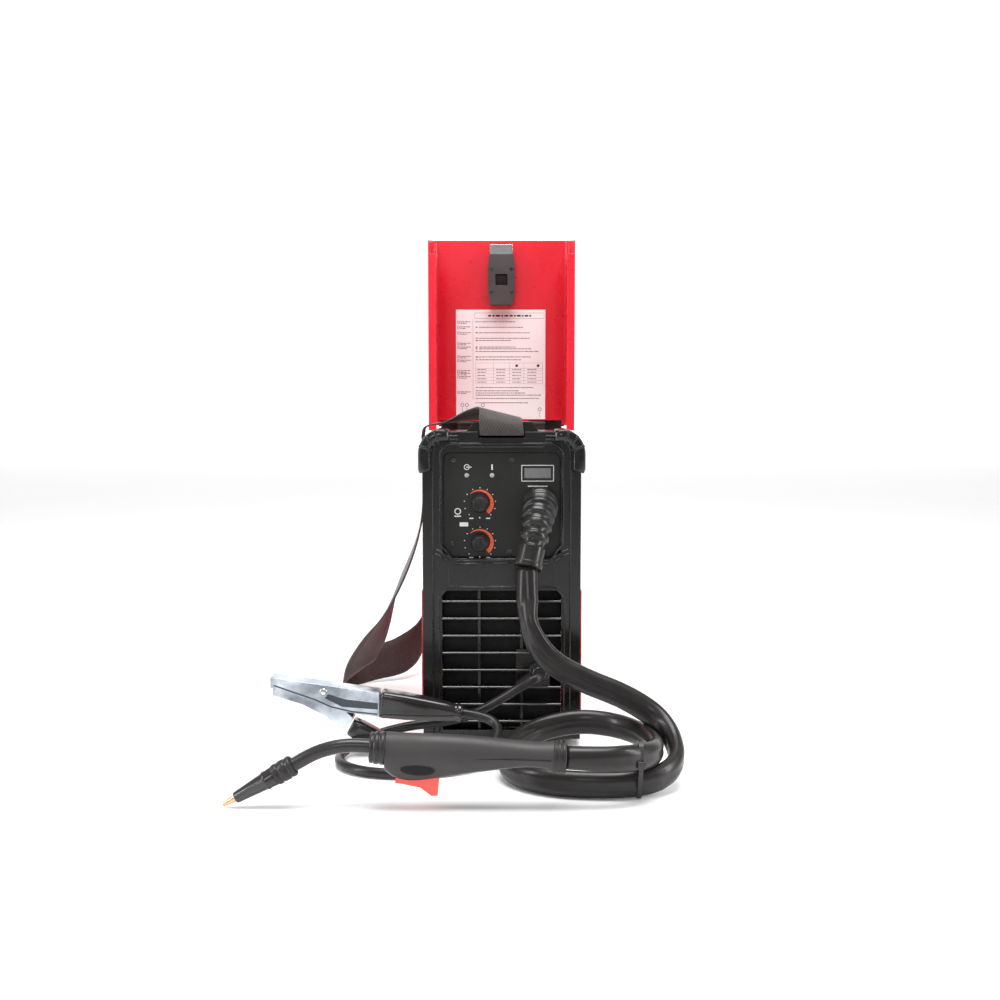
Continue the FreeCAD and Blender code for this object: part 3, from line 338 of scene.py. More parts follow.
# Strain relief: a moulded rubber sleeve with fine rings at its shoulder, deep ones below and a plain end collar.
# Its flange is clamped behind the panel, and it keeps the gun lead from kinking at its first bend.
def along(points, share):
    """A place and heading on a smooth line through the points."""
    reach = share * (len(points) - 1)
    n = min(int(reach), len(points) - 2)
    t = reach - n
    before, start, end = points[max(n - 1, 0)], points[n], points[n + 1]
    after = points[min(n + 2, len(points) - 1)]
    second = 2 * before - 5 * start + 4 * end - after
    third = 3 * start - before - 3 * end + after
    spot = 0.5 * (2 * start + (end - before) * t + second * t ** 2 + third * t ** 3)
    return spot, ((end - before) + 2 * second * t + 3 * third * t ** 2).normalized()


def ring_about(spot, heading, radius, count=40, up=Vector((1, 0, 0))):
    """A circle of points square to a heading."""
    side = heading.cross(up).normalized()
    other = side.cross(heading).normalized()
    return [spot + (side * math.cos(2 * math.pi * n / count) + other * math.sin(2 * math.pi * n / count)) * radius
            for n in range(count)]


relief_rubber = moulded("relief_rubber", (0.008, 0.0077, 0.0075), (0.015, 0.014, 0.0135), 0.32, grain=600,
                        depth=0.2,
                        edge=0, coat=0.15)
relief_line = [Vector(point) / 1000 for point in
               ((42, -203.7, 270), (42, -215, 269.5), (40.7, -230, 264), (37.5, -245, 251), (33, -257.5,
                                                                                             232),
                (27, -268, 208))]


def relief_radius(share):
    """The sleeve's radius from the panel to its end."""
    if share < 0.07:
        return 0.0165 + 0.025 * share
    if share > 0.83:
        lip = 0.0011 if share > 0.945 else 0.0
        return 0.0146 + lip - 0.0016 * max(0, (share - 0.985) / 0.015)
    body = 0.0192 - 0.0045 * max(0.0, share - 0.3) / 0.53
    if share < 0.36:
        return body + 0.00055 * math.sin(2 * math.pi * (share - 0.07) / 0.058)
    wave = math.sin(2 * math.pi * (share - 0.36) / 0.1175)
    return body - 0.0009 + 0.0016 * math.tanh(2.2 * wave)


relief_steps = 300
relief_rings = [ring_about(*along(relief_line, n / relief_steps), relief_radius(n / relief_steps))
                for n in range(relief_steps + 1)]
strain_relief = add_mesh("strain_relief", *sweep(relief_rings), relief_rubber)
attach(strain_relief, "case")
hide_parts("gun_strain_relief")


# Tray and nose: folded steel sheet, powder coated glossy red inside and out, spot welded at the corners.
# The tray carries everything; the nose is the fixed sheet between the front moulding and the hood.
def painted(name, deep, bright):
    """Glossy powder coat: orange peel, faint clouding, dust, and corners painted light pink as a painted edge
    highlight.
    """
    material, tree, shader, place = node_tree(name)
    cloud = spread(tree, speckle(tree, place, 9, 3), 0, 1)
    base = colours(tree, cloud, deep, bright)
    # Corners turn light pink: a painted edge highlight on the red.
    tree.links.new(colours(tree, wear_and_edge_highlight(tree, place, 0.0009, 160), base, (0.75, 0.2, 0.2)),
                   shader.inputs["Base Color"])
    dust = speckle(tree, place, 30, 6)
    tree.links.new(spread(tree, dust, 0.24, 0.34), shader.inputs["Roughness"])
    shader.inputs["Coat Weight"].default_value = 0.8
    shader.inputs["Coat Roughness"].default_value = 0.09
    tree.links.new(relief(tree, speckle(tree, place, 420, 2), 0.25, 0.00006, 0.0011),
                   shader.inputs["Normal"])
    return material


def dress(material, *nodes):
    """Give CAD nodes their finish."""
    for node in nodes:
        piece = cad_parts[node]
        if not piece.material_slots:
            piece.data.materials.append(material)
        for slot in piece.material_slots:
            slot.material = material


red_paint = painted("red_paint", (0.60, 0.003, 0.014), (0.68, 0.006, 0.022))
dress(red_paint, "base_chassis", "nose_wrap")


# Feet: four turned rubber buttons, each held by a screw up through its hollow middle.
# The rubber is dull and picks up dust from the floor.
def turned(name, start, heading, profile, material, count=48, wobble=None):
    """A turned piece from (distance along, radius) pairs; wobble changes a radius by angle and distance."""
    heading = Vector(heading).normalized()
    up = Vector((0, 0, 1)) if abs(heading.z) < 0.9 else Vector((1, 0, 0))
    side = heading.cross(up).normalized()
    other = side.cross(heading).normalized()
    rings = []
    for distance, radius in profile:
        ring = []
        for n in range(count):
            angle = 2 * math.pi * n / count
            reach = radius * (wobble(angle, distance) if wobble else 1)
            ring.append(Vector(start) + heading * distance
                        + (side * math.cos(angle) + other * math.sin(angle)) * reach)
        rings.append(ring)
    return add_mesh(name, *sweep(rings), material)


def joined(name, pieces):
    """Several pieces made one object."""
    made = bmesh.new()
    for piece in pieces:
        evaluated = piece.evaluated_get(bpy.context.evaluated_depsgraph_get())
        data = bpy.data.meshes.new_from_object(evaluated)
        made.from_mesh(data)
        bpy.data.meshes.remove(data)
    material = pieces[0].data.materials[0]
    for piece in pieces:
        bpy.data.objects.remove(piece)
    data = bpy.data.meshes.new(name)
    made.to_mesh(data)
    made.free()
    data.materials.append(material)
    whole = bpy.data.objects.new(name, data)
    bpy.context.collection.objects.link(whole)
    return whole


foot_rubber = moulded("foot_rubber", (0.014, 0.014, 0.014), (0.03, 0.029, 0.028), 0.62, grain=1100,
                      depth=0.4, edge=0)
feet_low, feet_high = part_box("rubber_feet")
foot_radius = 0.009
foot_profile = [(0, 0.0062), (0, 0.0068), (0.0006, 0.0076), (0.0055, 0.0086), (0.0072, 0.0088), (0.008,
                                                                                                 0.0084)]
feet = []
for x in (feet_low.x + foot_radius, feet_high.x - foot_radius):
    for y in (feet_low.y + foot_radius, feet_high.y - foot_radius):
        feet.append(turned("foot", (x, y, 0), (0, 0, 1), foot_profile, foot_rubber, 32))
bpy.context.view_layer.update()
moulded_feet = joined("moulded_feet", feet)
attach(moulded_feet, "case")
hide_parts("rubber_feet")


# Front moulding: one black injection moulded part with the panel recess, louvred grille and strap bracket.
# Its satin surface shows light along every rib; bumpers, ribs and lips are moulded on.
# Its corners are painted lighter: rubbed wear and a painted edge highlight along the ribs.
case_black = moulded("case_black", (0.0042, 0.0037, 0.0034), (0.0075, 0.0066, 0.0062), 0.27, grain=1300,
                     depth=0.3,
                     edge=0.0013, edge_wear_and_highlight=(0.03, 0.028, 0.026), coat=0.35)
dress(case_black, "front_bezel", "rear_bezel")
front_face = front_low.y


def bead(name, path, radius, proud, material, closed=False, flat=1.0):
    """A half-round rib along a path of (x, z) on the front face."""
    middle_y = front_face + radius - proud
    rings = []
    count = len(path)
    for n, (x, z) in enumerate(path):
        ahead = path[(n + 1) % count] if closed or n < count - 1 else path[n]
        behind = path[n - 1] if closed or n > 0 else path[n]
        run = Vector((ahead[0] - behind[0], 0, ahead[1] - behind[1])).normalized()
        side = Vector((-run.z, 0, run.x))
        rings.append([Vector((x, middle_y, z)) + side * radius * flat * math.cos(2 * math.pi * m / 12)
                      + Vector((0, radius * math.sin(2 * math.pi * m / 12), 0)) for m in range(12)])
    return add_mesh(name, *sweep(rings, closed=closed), material)


def corner(x, z, radius, start, end, steps=10):
    """Points of a round corner between two angles in degrees."""
    return [(x + radius * math.cos(math.radians(start + (end - start) * n / steps)),
             z + radius * math.sin(math.radians(start + (end - start) * n / steps))) for n in range(steps + 1)]


ribs = []
panel_frame = (corner(0.054, 0.3235, 0.0135, 0, 90) + corner(-0.054, 0.3235, 0.0135, 90, 180)
               + [(-0.0675, 0.2265), (-0.0535, 0.2095)] + [(0.0535, 0.2095), (0.0675, 0.2265)])
ribs.append(bead("panel_frame", panel_frame, 0.0013, 0.0011, case_black, closed=True))
outer_frame = ([(-0.0755, 0.0125)] + corner(-0.0605, 0.3275, 0.015, 180, 120) + [(-0.0475, 0.3425)])
for side in (-1, 1):
    ribs.append(bead("outer_frame", [(side * -x, z) for x, z in outer_frame], 0.0011, 0.0009, case_black))
ribs.append(bead("bracket_line", [(-0.048, 0.3375), (-0.0445, 0.3335), (0.0445, 0.3335), (0.048, 0.3375)],
                 0.0009, 0.0008, case_black))
for step, rise in enumerate((0.2052, 0.2085)):
    ribs.append(bead("sill", [(-0.0525 + 0.002 * step, rise), (0.0525 - 0.002 * step, rise)], 0.0011, 0.001,
                     case_black))
for side in (-1, 1):
    for step in range(2):
        ribs.append(bead("sill_end", [(side * (0.0555 + 0.0035 * step), 0.2105 - 0.0035 * step),
                                      (side * (0.0725 + 0.001 * step), 0.2215 - 0.0045 * step)], 0.0012, 0.001,
                         case_black))
grille_frame = [(-0.069, 0.0155), (-0.069, 0.167), (-0.0585, 0.1785), (0.0585, 0.1785), (0.069, 0.167),
                (0.069, 0.0155)]
ribs.append(bead("grille_frame", grille_frame, 0.001, 0.0008, case_black))
bpy.context.view_layer.update()
moulded_ribs = joined("moulded_ribs", ribs)
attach(moulded_ribs, "case")

bumpers = []
bumper_y = (front_face + 0.0005, front_face + 0.041)
for side in (-1, 1):
    outline = [(0.0885, 0.3052), (0.0893, 0.309)] + corner(0.0653, 0.3265, 0.024, 0, 88, 14) + [(0.0585,
                                                                                                 0.3505)]
    sections = []
    for n, (x, z) in enumerate(outline):
        ahead, behind = outline[min(n + 1, len(outline) - 1)], outline[max(n - 1, 0)]
        run = Vector((ahead[0] - behind[0], 0, ahead[1] - behind[1])).normalized()
        out = Vector((run.z, 0, -run.x))
        base = Vector((x, 0, z))
        ends = 0.4 if n in (0, len(outline) - 1) else 1
        profile = ((0.0012, bumper_y[0] - 0.0035), (0.0022 * ends, bumper_y[0] - 0.002),
                   (0.0026 * ends, bumper_y[0] + 0.003), (0.0026 * ends, bumper_y[1] - 0.004),
                   (0.0012, bumper_y[1]), (-0.004, bumper_y[1]), (-0.011, bumper_y[0] + 0.004),
                   (-0.011, bumper_y[0] - 0.0018), (-0.0095, bumper_y[0] - 0.0035))
        section = [base + out * reach + Vector((0, y, 0)) for reach, y in profile]
        sections.append([Vector((side * point.x, point.y, point.z)) for point in section])
    bumpers.append(add_mesh("bumper", *sweep(sections), case_black))
    for angle in (18, 45, 72):
        turn = math.radians(angle)
        middle = Vector((0.0653 + 0.0235 * math.cos(turn), 0, 0.3265 + 0.0235 * math.sin(turn)))
        out = Vector((math.cos(turn), 0, math.sin(turn)))
        across = Vector((-out.z, 0, out.x))
        rings = []
        for reach, half in ((-0.0125, 0.0004), (-0.011, 0.0011), (0.0018, 0.0014), (0.0034, 0.0008)):
            centre = middle + out * reach
            rings.append([Vector((side * (centre + across * a * half).x, y, (centre + across * a * half).z))
                          for a, y in ((-1, bumper_y[0] - 0.0032), (0, bumper_y[0] - 0.0046),
                                       (1, bumper_y[0] - 0.0032), (1, bumper_y[1] - 0.006),
                                       (-1, bumper_y[1] - 0.006))])
        bumpers.append(add_mesh("bumper_rib", *sweep(rings), case_black))
    for n, (high, wide) in enumerate(((0.3455, 0.0115), (0.3418, 0.0105), (0.338, 0.0085))):
        x0, x1 = side * 0.0475, side * (0.0475 + wide)
        bumpers.append(block("bracket_rib", (min(x0, x1), front_face - 0.0028, high - 0.0012),
                             (max(x0, x1), front_face + 0.03, high + 0.0012), case_black, 0.0009, 3))
bpy.context.view_layer.update()
corner_bumpers = joined("corner_bumpers", bumpers)
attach(corner_bumpers, "case")


# Louvre lips: each of the grille's eight blades ends in a rolled edge, coloured far lighter than the black front
# as a painted highlight.
# They are moulded with the front, at one pitch.
def new_tree(name, **inputs):
    """A geometry tree with named number inputs, and its input and output nodes."""
    tree = bpy.data.node_groups.new(name, "GeometryNodeTree")
    tree.interface.new_socket("Geometry", in_out="INPUT", socket_type="NodeSocketGeometry")
    for label, value in inputs.items():
        kind = "NodeSocketInt" if isinstance(value, int) else "NodeSocketFloat"
        socket = tree.interface.new_socket(label, in_out="INPUT", socket_type=kind)
        socket.default_value = value
    tree.interface.new_socket("Geometry", in_out="OUTPUT", socket_type="NodeSocketGeometry")
    return tree, tree.nodes.new("NodeGroupInput"), tree.nodes.new("NodeGroupOutput")


def finish_tree(tree, instances, material, output):
    """End a tree in real, painted geometry."""
    real = tree.nodes.new("GeometryNodeRealizeInstances")
    paint = tree.nodes.new("GeometryNodeSetMaterial")
    paint.inputs["Material"].default_value = material
    tree.links.new(instances, real.inputs[0])
    tree.links.new(real.outputs[0], paint.inputs["Geometry"])
    tree.links.new(paint.outputs[0], output.inputs[0])


def run_tree(name, tree, base, **values):
    """A plain mesh made by a tree on a base mesh, with inputs set by their sockets' identifiers."""
    data = bpy.data.meshes.new(name + "_base")
    data.from_pydata(base, [], [])
    maker = bpy.data.objects.new(name + "_maker", data)
    bpy.context.collection.objects.link(maker)
    modifier = maker.modifiers.new("maker", "NODES")
    modifier.node_group = tree
    names = {item.name: item.identifier for item in tree.interface.items_tree if item.in_out == "INPUT"}
    for label, value in values.items():
        modifier[names[label]] = value
    bpy.context.view_layer.update()
    made = bpy.data.meshes.new_from_object(maker.evaluated_get(bpy.context.evaluated_depsgraph_get()))
    bpy.data.objects.remove(maker)
    made.name = name
    piece = bpy.data.objects.new(name, made)
    bpy.context.collection.objects.link(piece)
    return piece


# A painted highlight: the lips are far lighter than the black moulding they belong to.
lip_painted_highlight = moulded("lip_painted_highlight", (0.05, 0.047, 0.045), (0.07, 0.066, 0.063), 0.2, grain=900, depth=0.2,
                    edge=0,
                    coat=0.5)
louvre_tree, tree_in, tree_out = new_tree("louvre_lips", Count=8, First=0.028, Pitch=0.01925, Length=0.131,
                                          Radius=0.0012)
rod = louvre_tree.nodes.new("GeometryNodeMeshCylinder")
rod.inputs["Vertices"].default_value = 12
louvre_tree.links.new(tree_in.outputs["Radius"], rod.inputs["Radius"])
louvre_tree.links.new(tree_in.outputs["Length"], rod.inputs["Depth"])
start = louvre_tree.nodes.new("ShaderNodeCombineXYZ")
start.inputs["Y"].default_value = front_face + 0.0009
louvre_tree.links.new(tree_in.outputs["First"], start.inputs["Z"])
pitch = louvre_tree.nodes.new("ShaderNodeCombineXYZ")
louvre_tree.links.new(tree_in.outputs["Pitch"], pitch.inputs["Z"])
stack = louvre_tree.nodes.new("GeometryNodeMeshLine")
louvre_tree.links.new(tree_in.outputs["Count"], stack.inputs["Count"])
louvre_tree.links.new(start.outputs[0], stack.inputs["Start Location"])
louvre_tree.links.new(pitch.outputs[0], stack.inputs["Offset"])
place_rods = louvre_tree.nodes.new("GeometryNodeInstanceOnPoints")
place_rods.inputs["Rotation"].default_value = (0, math.pi / 2, 0)
louvre_tree.links.new(stack.outputs[0], place_rods.inputs["Points"])
louvre_tree.links.new(rod.outputs["Mesh"], place_rods.inputs["Instance"])
finish_tree(louvre_tree, place_rods.outputs[0], lip_painted_highlight, tree_out)
louvre_lips = run_tree("louvre_lips", louvre_tree, [(0, 0, 0)], Count=8, Pitch=0.01925)
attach(louvre_lips, "case")


# Control plate: a satin black sheet, screen printed with two dials, lamp marks and a plain badge.
# The print is a thin raised film of ink.
ink_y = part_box("control_panel")[0].y
ink_film = 0.00012
plate_satin = moulded("plate_satin", (0.011, 0.011, 0.0105), (0.017, 0.017, 0.016), 0.36, grain=1600,
                      depth=0.3,
                      edge=0.0005)
dress(plate_satin, "control_panel")


def ink(name, colour, roughness=0.5):
    """Screen ink with a faint mottle."""
    material, tree, shader, place = node_tree(name)
    thin = tuple(value * 0.8 for value in colour)
    tree.links.new(colours(tree, spread(tree, speckle(tree, place, 700, 3), 0, 1), thin, colour),
                   shader.inputs["Base Color"])
    tree.links.new(spread(tree, speckle(tree, place, 200, 2), roughness - 0.06, roughness + 0.06),
                   shader.inputs["Roughness"])
    tree.links.new(relief(tree, speckle(tree, place, 2500, 1), 0.2, 0.00003), shader.inputs["Normal"])
    return material


def film(outlines, surface_y, thick=ink_film):
    """Vertices and faces of closed outlines of (x, z), each a thin prism that stands out of a front surface."""
    vertices, faces = [], []
    for outline in outlines:
        first, count = len(vertices), len(outline)
        vertices += [(x, surface_y + 0.00002, z) for x, z in outline] + [(x, surface_y - thick, z) for x,
                                                                         z in outline]
        faces += [tuple(first + n for n in range(count)),
                  tuple(first + count + n for n in range(count))[::-1]]
        faces += [(first + n, first + (n + 1) % count, first + count + (n + 1) % count, first + count + n)
                  for n in range(count)]
    return vertices, faces


def strip(points, width):
    """The outline of a line of even width through (x, z) points."""
    left, right = [], []
    for n, (x, z) in enumerate(points):
        ahead, behind = points[min(n + 1, len(points) - 1)], points[max(n - 1, 0)]
        run = Vector((ahead[0] - behind[0], ahead[1] - behind[1])).normalized()
        left.append((x - run.y * width / 2, z + run.x * width / 2))
        right.append((x + run.y * width / 2, z - run.x * width / 2))
    return left + right[::-1]


def bar(x, z, wide, tall):
    """A rectangle's outline about its middle."""
    return [(x - wide / 2, z - tall / 2), (x + wide / 2, z - tall / 2), (x + wide / 2, z + tall / 2),
            (x - wide / 2, z + tall / 2)]


def ring_halves(x, z, radius, width):
    """A printed ring, as two half circles."""
    return [strip(corner(x, z, radius, a, a + 180, 16), width) for a in (0, 180)]


white_ink = ink("white_ink", (0.72, 0.72, 0.7))
orange_ink = ink("orange_ink", (0.85, 0.12, 0.035))
red_ink = ink("red_ink", (0.6, 0.01, 0.03))
badge_grey = ink("badge_grey", (0.16, 0.16, 0.165), 0.4)
voltage_low, voltage_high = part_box("voltage_knob")
speed_low, speed_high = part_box("wire_speed_knob")
dial_x = (voltage_low.x + voltage_high.x) / 2
dials = [(voltage_low.z + voltage_high.z) / 2, (speed_low.z + speed_high.z) / 2]
arcs, marks, ticks = [], [], []
for z in dials:
    steps = 40
    arc_start, arc_sweep = 135, 185
    arc_reach = 0.0152
    outer, inner = [], []
    for n in range(steps + 1):
        angle = math.radians(arc_start - arc_sweep * n / steps)
        width = 0.0006 + 0.0044 * (n / steps) ** 0.9
        outer.append((dial_x + arc_reach * math.cos(angle), z + arc_reach * math.sin(angle)))
        inner.append((dial_x + (arc_reach - width) * math.cos(angle), z + (arc_reach - width) * math.sin(angle)))
    arcs.append(outer + inner[::-1])
    for x in (-0.0095, 0.009):
        marks.append(bar(dial_x + x, z - 0.0165, 0.0046, 0.0013))
    marks.append(bar(dial_x - 0.0003, z - 0.0158, 0.0012, 0.0016))
    for n in range(9):
        angle = math.radians(95 - 150 * n / 8)
        reach = arc_reach - 0.0022
        ticks.append(strip([(dial_x + (reach - 0.0009) * math.cos(angle),
                             z + (reach - 0.0009) * math.sin(angle)),
                            (dial_x + (reach + 0.0011) * math.cos(angle),
                             z + (reach + 0.0011) * math.sin(angle))],
                           0.0005))
lamps_low, lamps_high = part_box("indicator_lamps")
lamp_radius = (lamps_high.z - lamps_low.z) / 2
lamp_z = lamps_low.z + lamp_radius
lamp_x = (lamps_low.x + lamp_radius, lamps_high.x - lamp_radius)
marks += ring_halves(lamp_x[0], lamp_z + 0.0091, 0.0028, 0.0008)
marks.append(bar(lamp_x[0] + 0.0022, lamp_z + 0.0091, 0.0062, 0.0009))
marks.append(bar(lamp_x[1], lamp_z + 0.0091, 0.0017, 0.006))
badge = (0.0395, 0.3045)
marks += [strip([(badge[0] - 0.0175, badge[1] + 0.0085), (badge[0] + 0.0175, badge[1] + 0.0085)], 0.0008),
          strip([(badge[0] - 0.0175, badge[1] - 0.0088), (badge[0] + 0.0175, badge[1] - 0.0088)], 0.0008),
          strip([(badge[0] - 0.0175, badge[1] - 0.0092), (badge[0] - 0.0175, badge[1] + 0.0089)], 0.0008),
          strip([(badge[0] + 0.0175, badge[1] - 0.0092), (badge[0] + 0.0175, badge[1] + 0.0089)], 0.0008),
          bar(badge[0], badge[1] - 0.0145, 0.0215, 0.0011)]
marks += ring_halves(-0.0485, 0.2622, 0.0031, 0.0011)
marks += [bar(-0.0485, 0.2568, 0.0075, 0.0014), bar(-0.0417, 0.2478, 0.0094, 0.0044)]
pieces = {"dial_arcs": (arcs, orange_ink), "dial_ticks": (ticks, red_ink), "plate_marks": (marks,
                                                                                           white_ink),
          "badge_band": ([bar(badge[0], badge[1], 0.0290, 0.0110)], badge_grey)}
for label, (outlines, material) in pieces.items():
    thick = ink_film * (1.6 if label == "dial_ticks" else 1)
    printed = add_mesh(label, *film(outlines, ink_y, thick), material, smooth=False)
    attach(printed, "case")

dot_tree, tree_in, tree_out = new_tree("dial_dots", Count=11, Radius=0.0173, Dot=0.00062, Start=-2.38,
                                       Turn=0.476)
order = dot_tree.nodes.new("GeometryNodeInputIndex")
angle = dot_tree.nodes.new("ShaderNodeMath")
angle.operation = "MULTIPLY_ADD"
dot_tree.links.new(order.outputs[0], angle.inputs[0])
dot_tree.links.new(tree_in.outputs["Turn"], angle.inputs[1])
dot_tree.links.new(tree_in.outputs["Start"], angle.inputs[2])
round_place = dot_tree.nodes.new("ShaderNodeCombineXYZ")
for function, axis in (("SINE", "X"), ("COSINE", "Z")):
    turn = dot_tree.nodes.new("ShaderNodeMath")
    turn.operation = function
    reach = dot_tree.nodes.new("ShaderNodeMath")
    reach.operation = "MULTIPLY"
    dot_tree.links.new(angle.outputs[0], turn.inputs[0])
    dot_tree.links.new(turn.outputs[0], reach.inputs[0])
    dot_tree.links.new(tree_in.outputs["Radius"], reach.inputs[1])
    dot_tree.links.new(reach.outputs[0], round_place.inputs[axis])
line = dot_tree.nodes.new("GeometryNodeMeshLine")
line.inputs["Offset"].default_value = (0, 0, 0)
dot_tree.links.new(tree_in.outputs["Count"], line.inputs["Count"])
moved = dot_tree.nodes.new("GeometryNodeSetPosition")
dot_tree.links.new(line.outputs[0], moved.inputs["Geometry"])
dot_tree.links.new(round_place.outputs[0], moved.inputs["Position"])
dot = dot_tree.nodes.new("GeometryNodeMeshCylinder")
dot.inputs["Vertices"].default_value = 10
dot.inputs["Depth"].default_value = 0.0003
dot_tree.links.new(tree_in.outputs["Dot"], dot.inputs["Radius"])
place_dots = dot_tree.nodes.new("GeometryNodeInstanceOnPoints")
place_dots.inputs["Rotation"].default_value = (math.pi / 2, 0, 0)
dot_tree.links.new(moved.outputs[0], place_dots.inputs["Points"])
dot_tree.links.new(dot.outputs["Mesh"], place_dots.inputs["Instance"])
dials_round = dot_tree.nodes.new("GeometryNodeInstanceOnPoints")
dot_tree.links.new(tree_in.outputs["Geometry"], dials_round.inputs["Points"])
dot_tree.links.new(place_dots.outputs[0], dials_round.inputs["Instance"])
finish_tree(dot_tree, dials_round.outputs[0], white_ink, tree_out)
dial_dots = run_tree("dial_dots", dot_tree, [(dial_x, ink_y, z) for z in dials], Count=11)
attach(dial_dots, "case")


# Lamps: two smoked plastic lenses pushed through the plate.
# They are domed and a little cloudy.
lens, tree, shader, place = node_tree("smoked_lens")
tree.links.new(colours(tree, spread(tree, speckle(tree, place, 300, 3), 0, 1), (0.26, 0.26, 0.25), (0.4,
                                                                                                    0.4, 0.38)),
               shader.inputs["Base Color"])
tree.links.new(spread(tree, speckle(tree, place, 500, 2), 0.22, 0.38), shader.inputs["Roughness"])
tree.links.new(relief(tree, speckle(tree, place, 1500, 1), 0.15, 0.00004), shader.inputs["Normal"])
lens_profile = [(-0.0005, 0.0026), (0.0004, 0.0026), (0.0011, 0.0022), (0.0016, 0.0014), (0.0018, 0.0004)]
lenses = [turned("lens", (x, ink_y, lamp_z), (0, -1, 0), lens_profile, lens, 28) for x in lamp_x]
bpy.context.view_layer.update()
lamp_lenses = joined("lamp_lenses", lenses)
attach(lamp_lenses, "case")
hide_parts("indicator_lamps")


# Knobs: two moulded knobs with a fluted side and a raised pointer, pressed on the potentiometers' shafts.
# Each turns with its own shaft.
knob_black = moulded("knob_black", (0.009, 0.0085, 0.0085), (0.016, 0.015, 0.015), 0.4, grain=1500,
                     depth=0.3, edge=0,
                     coat=0.05)
knob_profile = [(0.0008, 0.0098), (0.0016, 0.01), (0.003, 0.01), (0.0036, 0.0094), (0.0045, 0.0092),
                (0.0125, 0.0087),
                (0.0141, 0.0082), (0.0148, 0.0072), (0.0150, 0.0066), (0.0146, 0.0058), (0.0146, 0.0004)]


def fluted(angle, distance):
    """Shallow grip flutes on a knob's side, none on its skirt or face."""
    if 0.0043 < distance < 0.0142:
        return 1 - 0.045 * (0.5 + 0.5 * math.cos(20 * angle))
    return 1


for label, node, z in (("voltage_dial", "voltage_knob", dials[0]), ("wire_speed_dial", "wire_speed_knob",
                                                                    dials[1])):
    grip = turned("grip", (dial_x, ink_y, z), (0, -1, 0), knob_profile, knob_black, 160, fluted)
    pointer = block("pointer", (dial_x - 0.0007, ink_y - 0.0156, z + 0.0005),
                    (dial_x + 0.0007, ink_y - 0.0143, z + 0.0078), knob_black, 0.0004)
    bpy.context.view_layer.update()
    knob = joined(node + "_moulding", [grip, pointer])
    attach(knob, label)
    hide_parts(node)


# Screws: zinc plated pan heads with a cross recess hold the plate, and two at each side hold the front moulding.
# All are one head, driven in at each place.
def metal(name, dark, light, roughness, grain=300, depth=0.2, edge=0.0, stretch=(1, 1, 1), metallic=1.0):
    """Bare or plated metal: drawn grain, cloudy tone and softened corners."""
    material, tree, shader, place = node_tree(name)
    tree.links.new(colours(tree, spread(tree, speckle(tree, place, 40, 5), 0, 1), dark, light),
                   shader.inputs["Base Color"])
    shader.inputs["Metallic"].default_value = metallic
    brushed = speckle(tree, place, grain, 3, stretch)
    tree.links.new(spread(tree, brushed, roughness - 0.07, roughness + 0.1), shader.inputs["Roughness"])
    tree.links.new(relief(tree, brushed, depth, 0.00005, edge), shader.inputs["Normal"])
    return material


screw_black = metal("screw_black", (0.03, 0.03, 0.03), (0.09, 0.09, 0.09), 0.34, metallic=0.8)


def pan_head(radius, height, material):
    """A domed head with a cross recess, pointing along -Y from the origin."""
    profile = [(-0.0004, radius * 0.96), (height * 0.35, radius), (height * 0.7, radius * 0.86),
               (height * 0.93, radius * 0.6), (height, radius * 0.36), (height, radius * 0.02)]
    head = turned("head", (0, 0, 0), (0, -1, 0), profile, material, 32)
    for vertex in head.data.vertices:
        x, z = vertex.co.x, vertex.co.z
        if math.hypot(x, z) < radius * 0.62 and min(abs(x),
                                                    abs(z)) < radius * 0.17 and vertex.co.y < -height * 0.5:
            vertex.co.y = -height * 0.35
    return head


plate_screw = pan_head(0.0031, 0.0017, screw_black)
case_screw = pan_head(0.0036, 0.0019, screw_black)
screw_tree = bpy.data.node_groups.new("screw_set", "GeometryNodeTree")
screw_tree.interface.new_socket("Geometry", in_out="INPUT", socket_type="NodeSocketGeometry")
screw_tree.interface.new_socket("Head", in_out="INPUT", socket_type="NodeSocketObject")
screw_tree.interface.new_socket("Turn", in_out="INPUT", socket_type="NodeSocketFloat")
screw_tree.interface.new_socket("Geometry", in_out="OUTPUT", socket_type="NodeSocketGeometry")
tree_in, tree_out = screw_tree.nodes.new("NodeGroupInput"), screw_tree.nodes.new("NodeGroupOutput")
head_info = screw_tree.nodes.new("GeometryNodeObjectInfo")
screw_tree.links.new(tree_in.outputs["Head"], head_info.inputs["Object"])
facing = screw_tree.nodes.new("ShaderNodeCombineXYZ")
spin = screw_tree.nodes.new("FunctionNodeRandomValue")
spin.data_type = "FLOAT"
spin.inputs[3].default_value = 1.5
spin.inputs["Seed"].default_value = 4
screw_tree.links.new(spin.outputs[1], facing.inputs["Y"])
screw_tree.links.new(tree_in.outputs["Turn"], facing.inputs["Z"])
drive = screw_tree.nodes.new("GeometryNodeInstanceOnPoints")
screw_tree.links.new(tree_in.outputs["Geometry"], drive.inputs["Points"])
screw_tree.links.new(head_info.outputs["Geometry"], drive.inputs["Instance"])
screw_tree.links.new(facing.outputs[0], drive.inputs["Rotation"])
finish_tree(screw_tree, drive.outputs[0], screw_black, tree_out)
plate_places = [(-0.053, ink_y, 0.319), (0.011, ink_y, 0.319), (-0.055, ink_y, 0.226), (0.008, ink_y,
                                                                                        0.217)]
side_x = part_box("screws")[1].x - 0.002
screw_sets = [run_tree("plate_screws", screw_tree, plate_places, Head=plate_screw, Turn=0.0)]
for side, turn in ((-1, -math.pi / 2), (1, math.pi / 2)):
    places = [(side * side_x, -0.178, z) for z in (0.212, 0.060)]
    screw_sets.append(run_tree("case_screws", screw_tree, places, Head=case_screw, Turn=turn))
for head in (plate_screw, case_screw):
    bpy.data.objects.remove(head)
bpy.context.view_layer.update()
pan_screws = joined("pan_screws", screw_sets)
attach(pan_screws, "case")
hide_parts("screws")
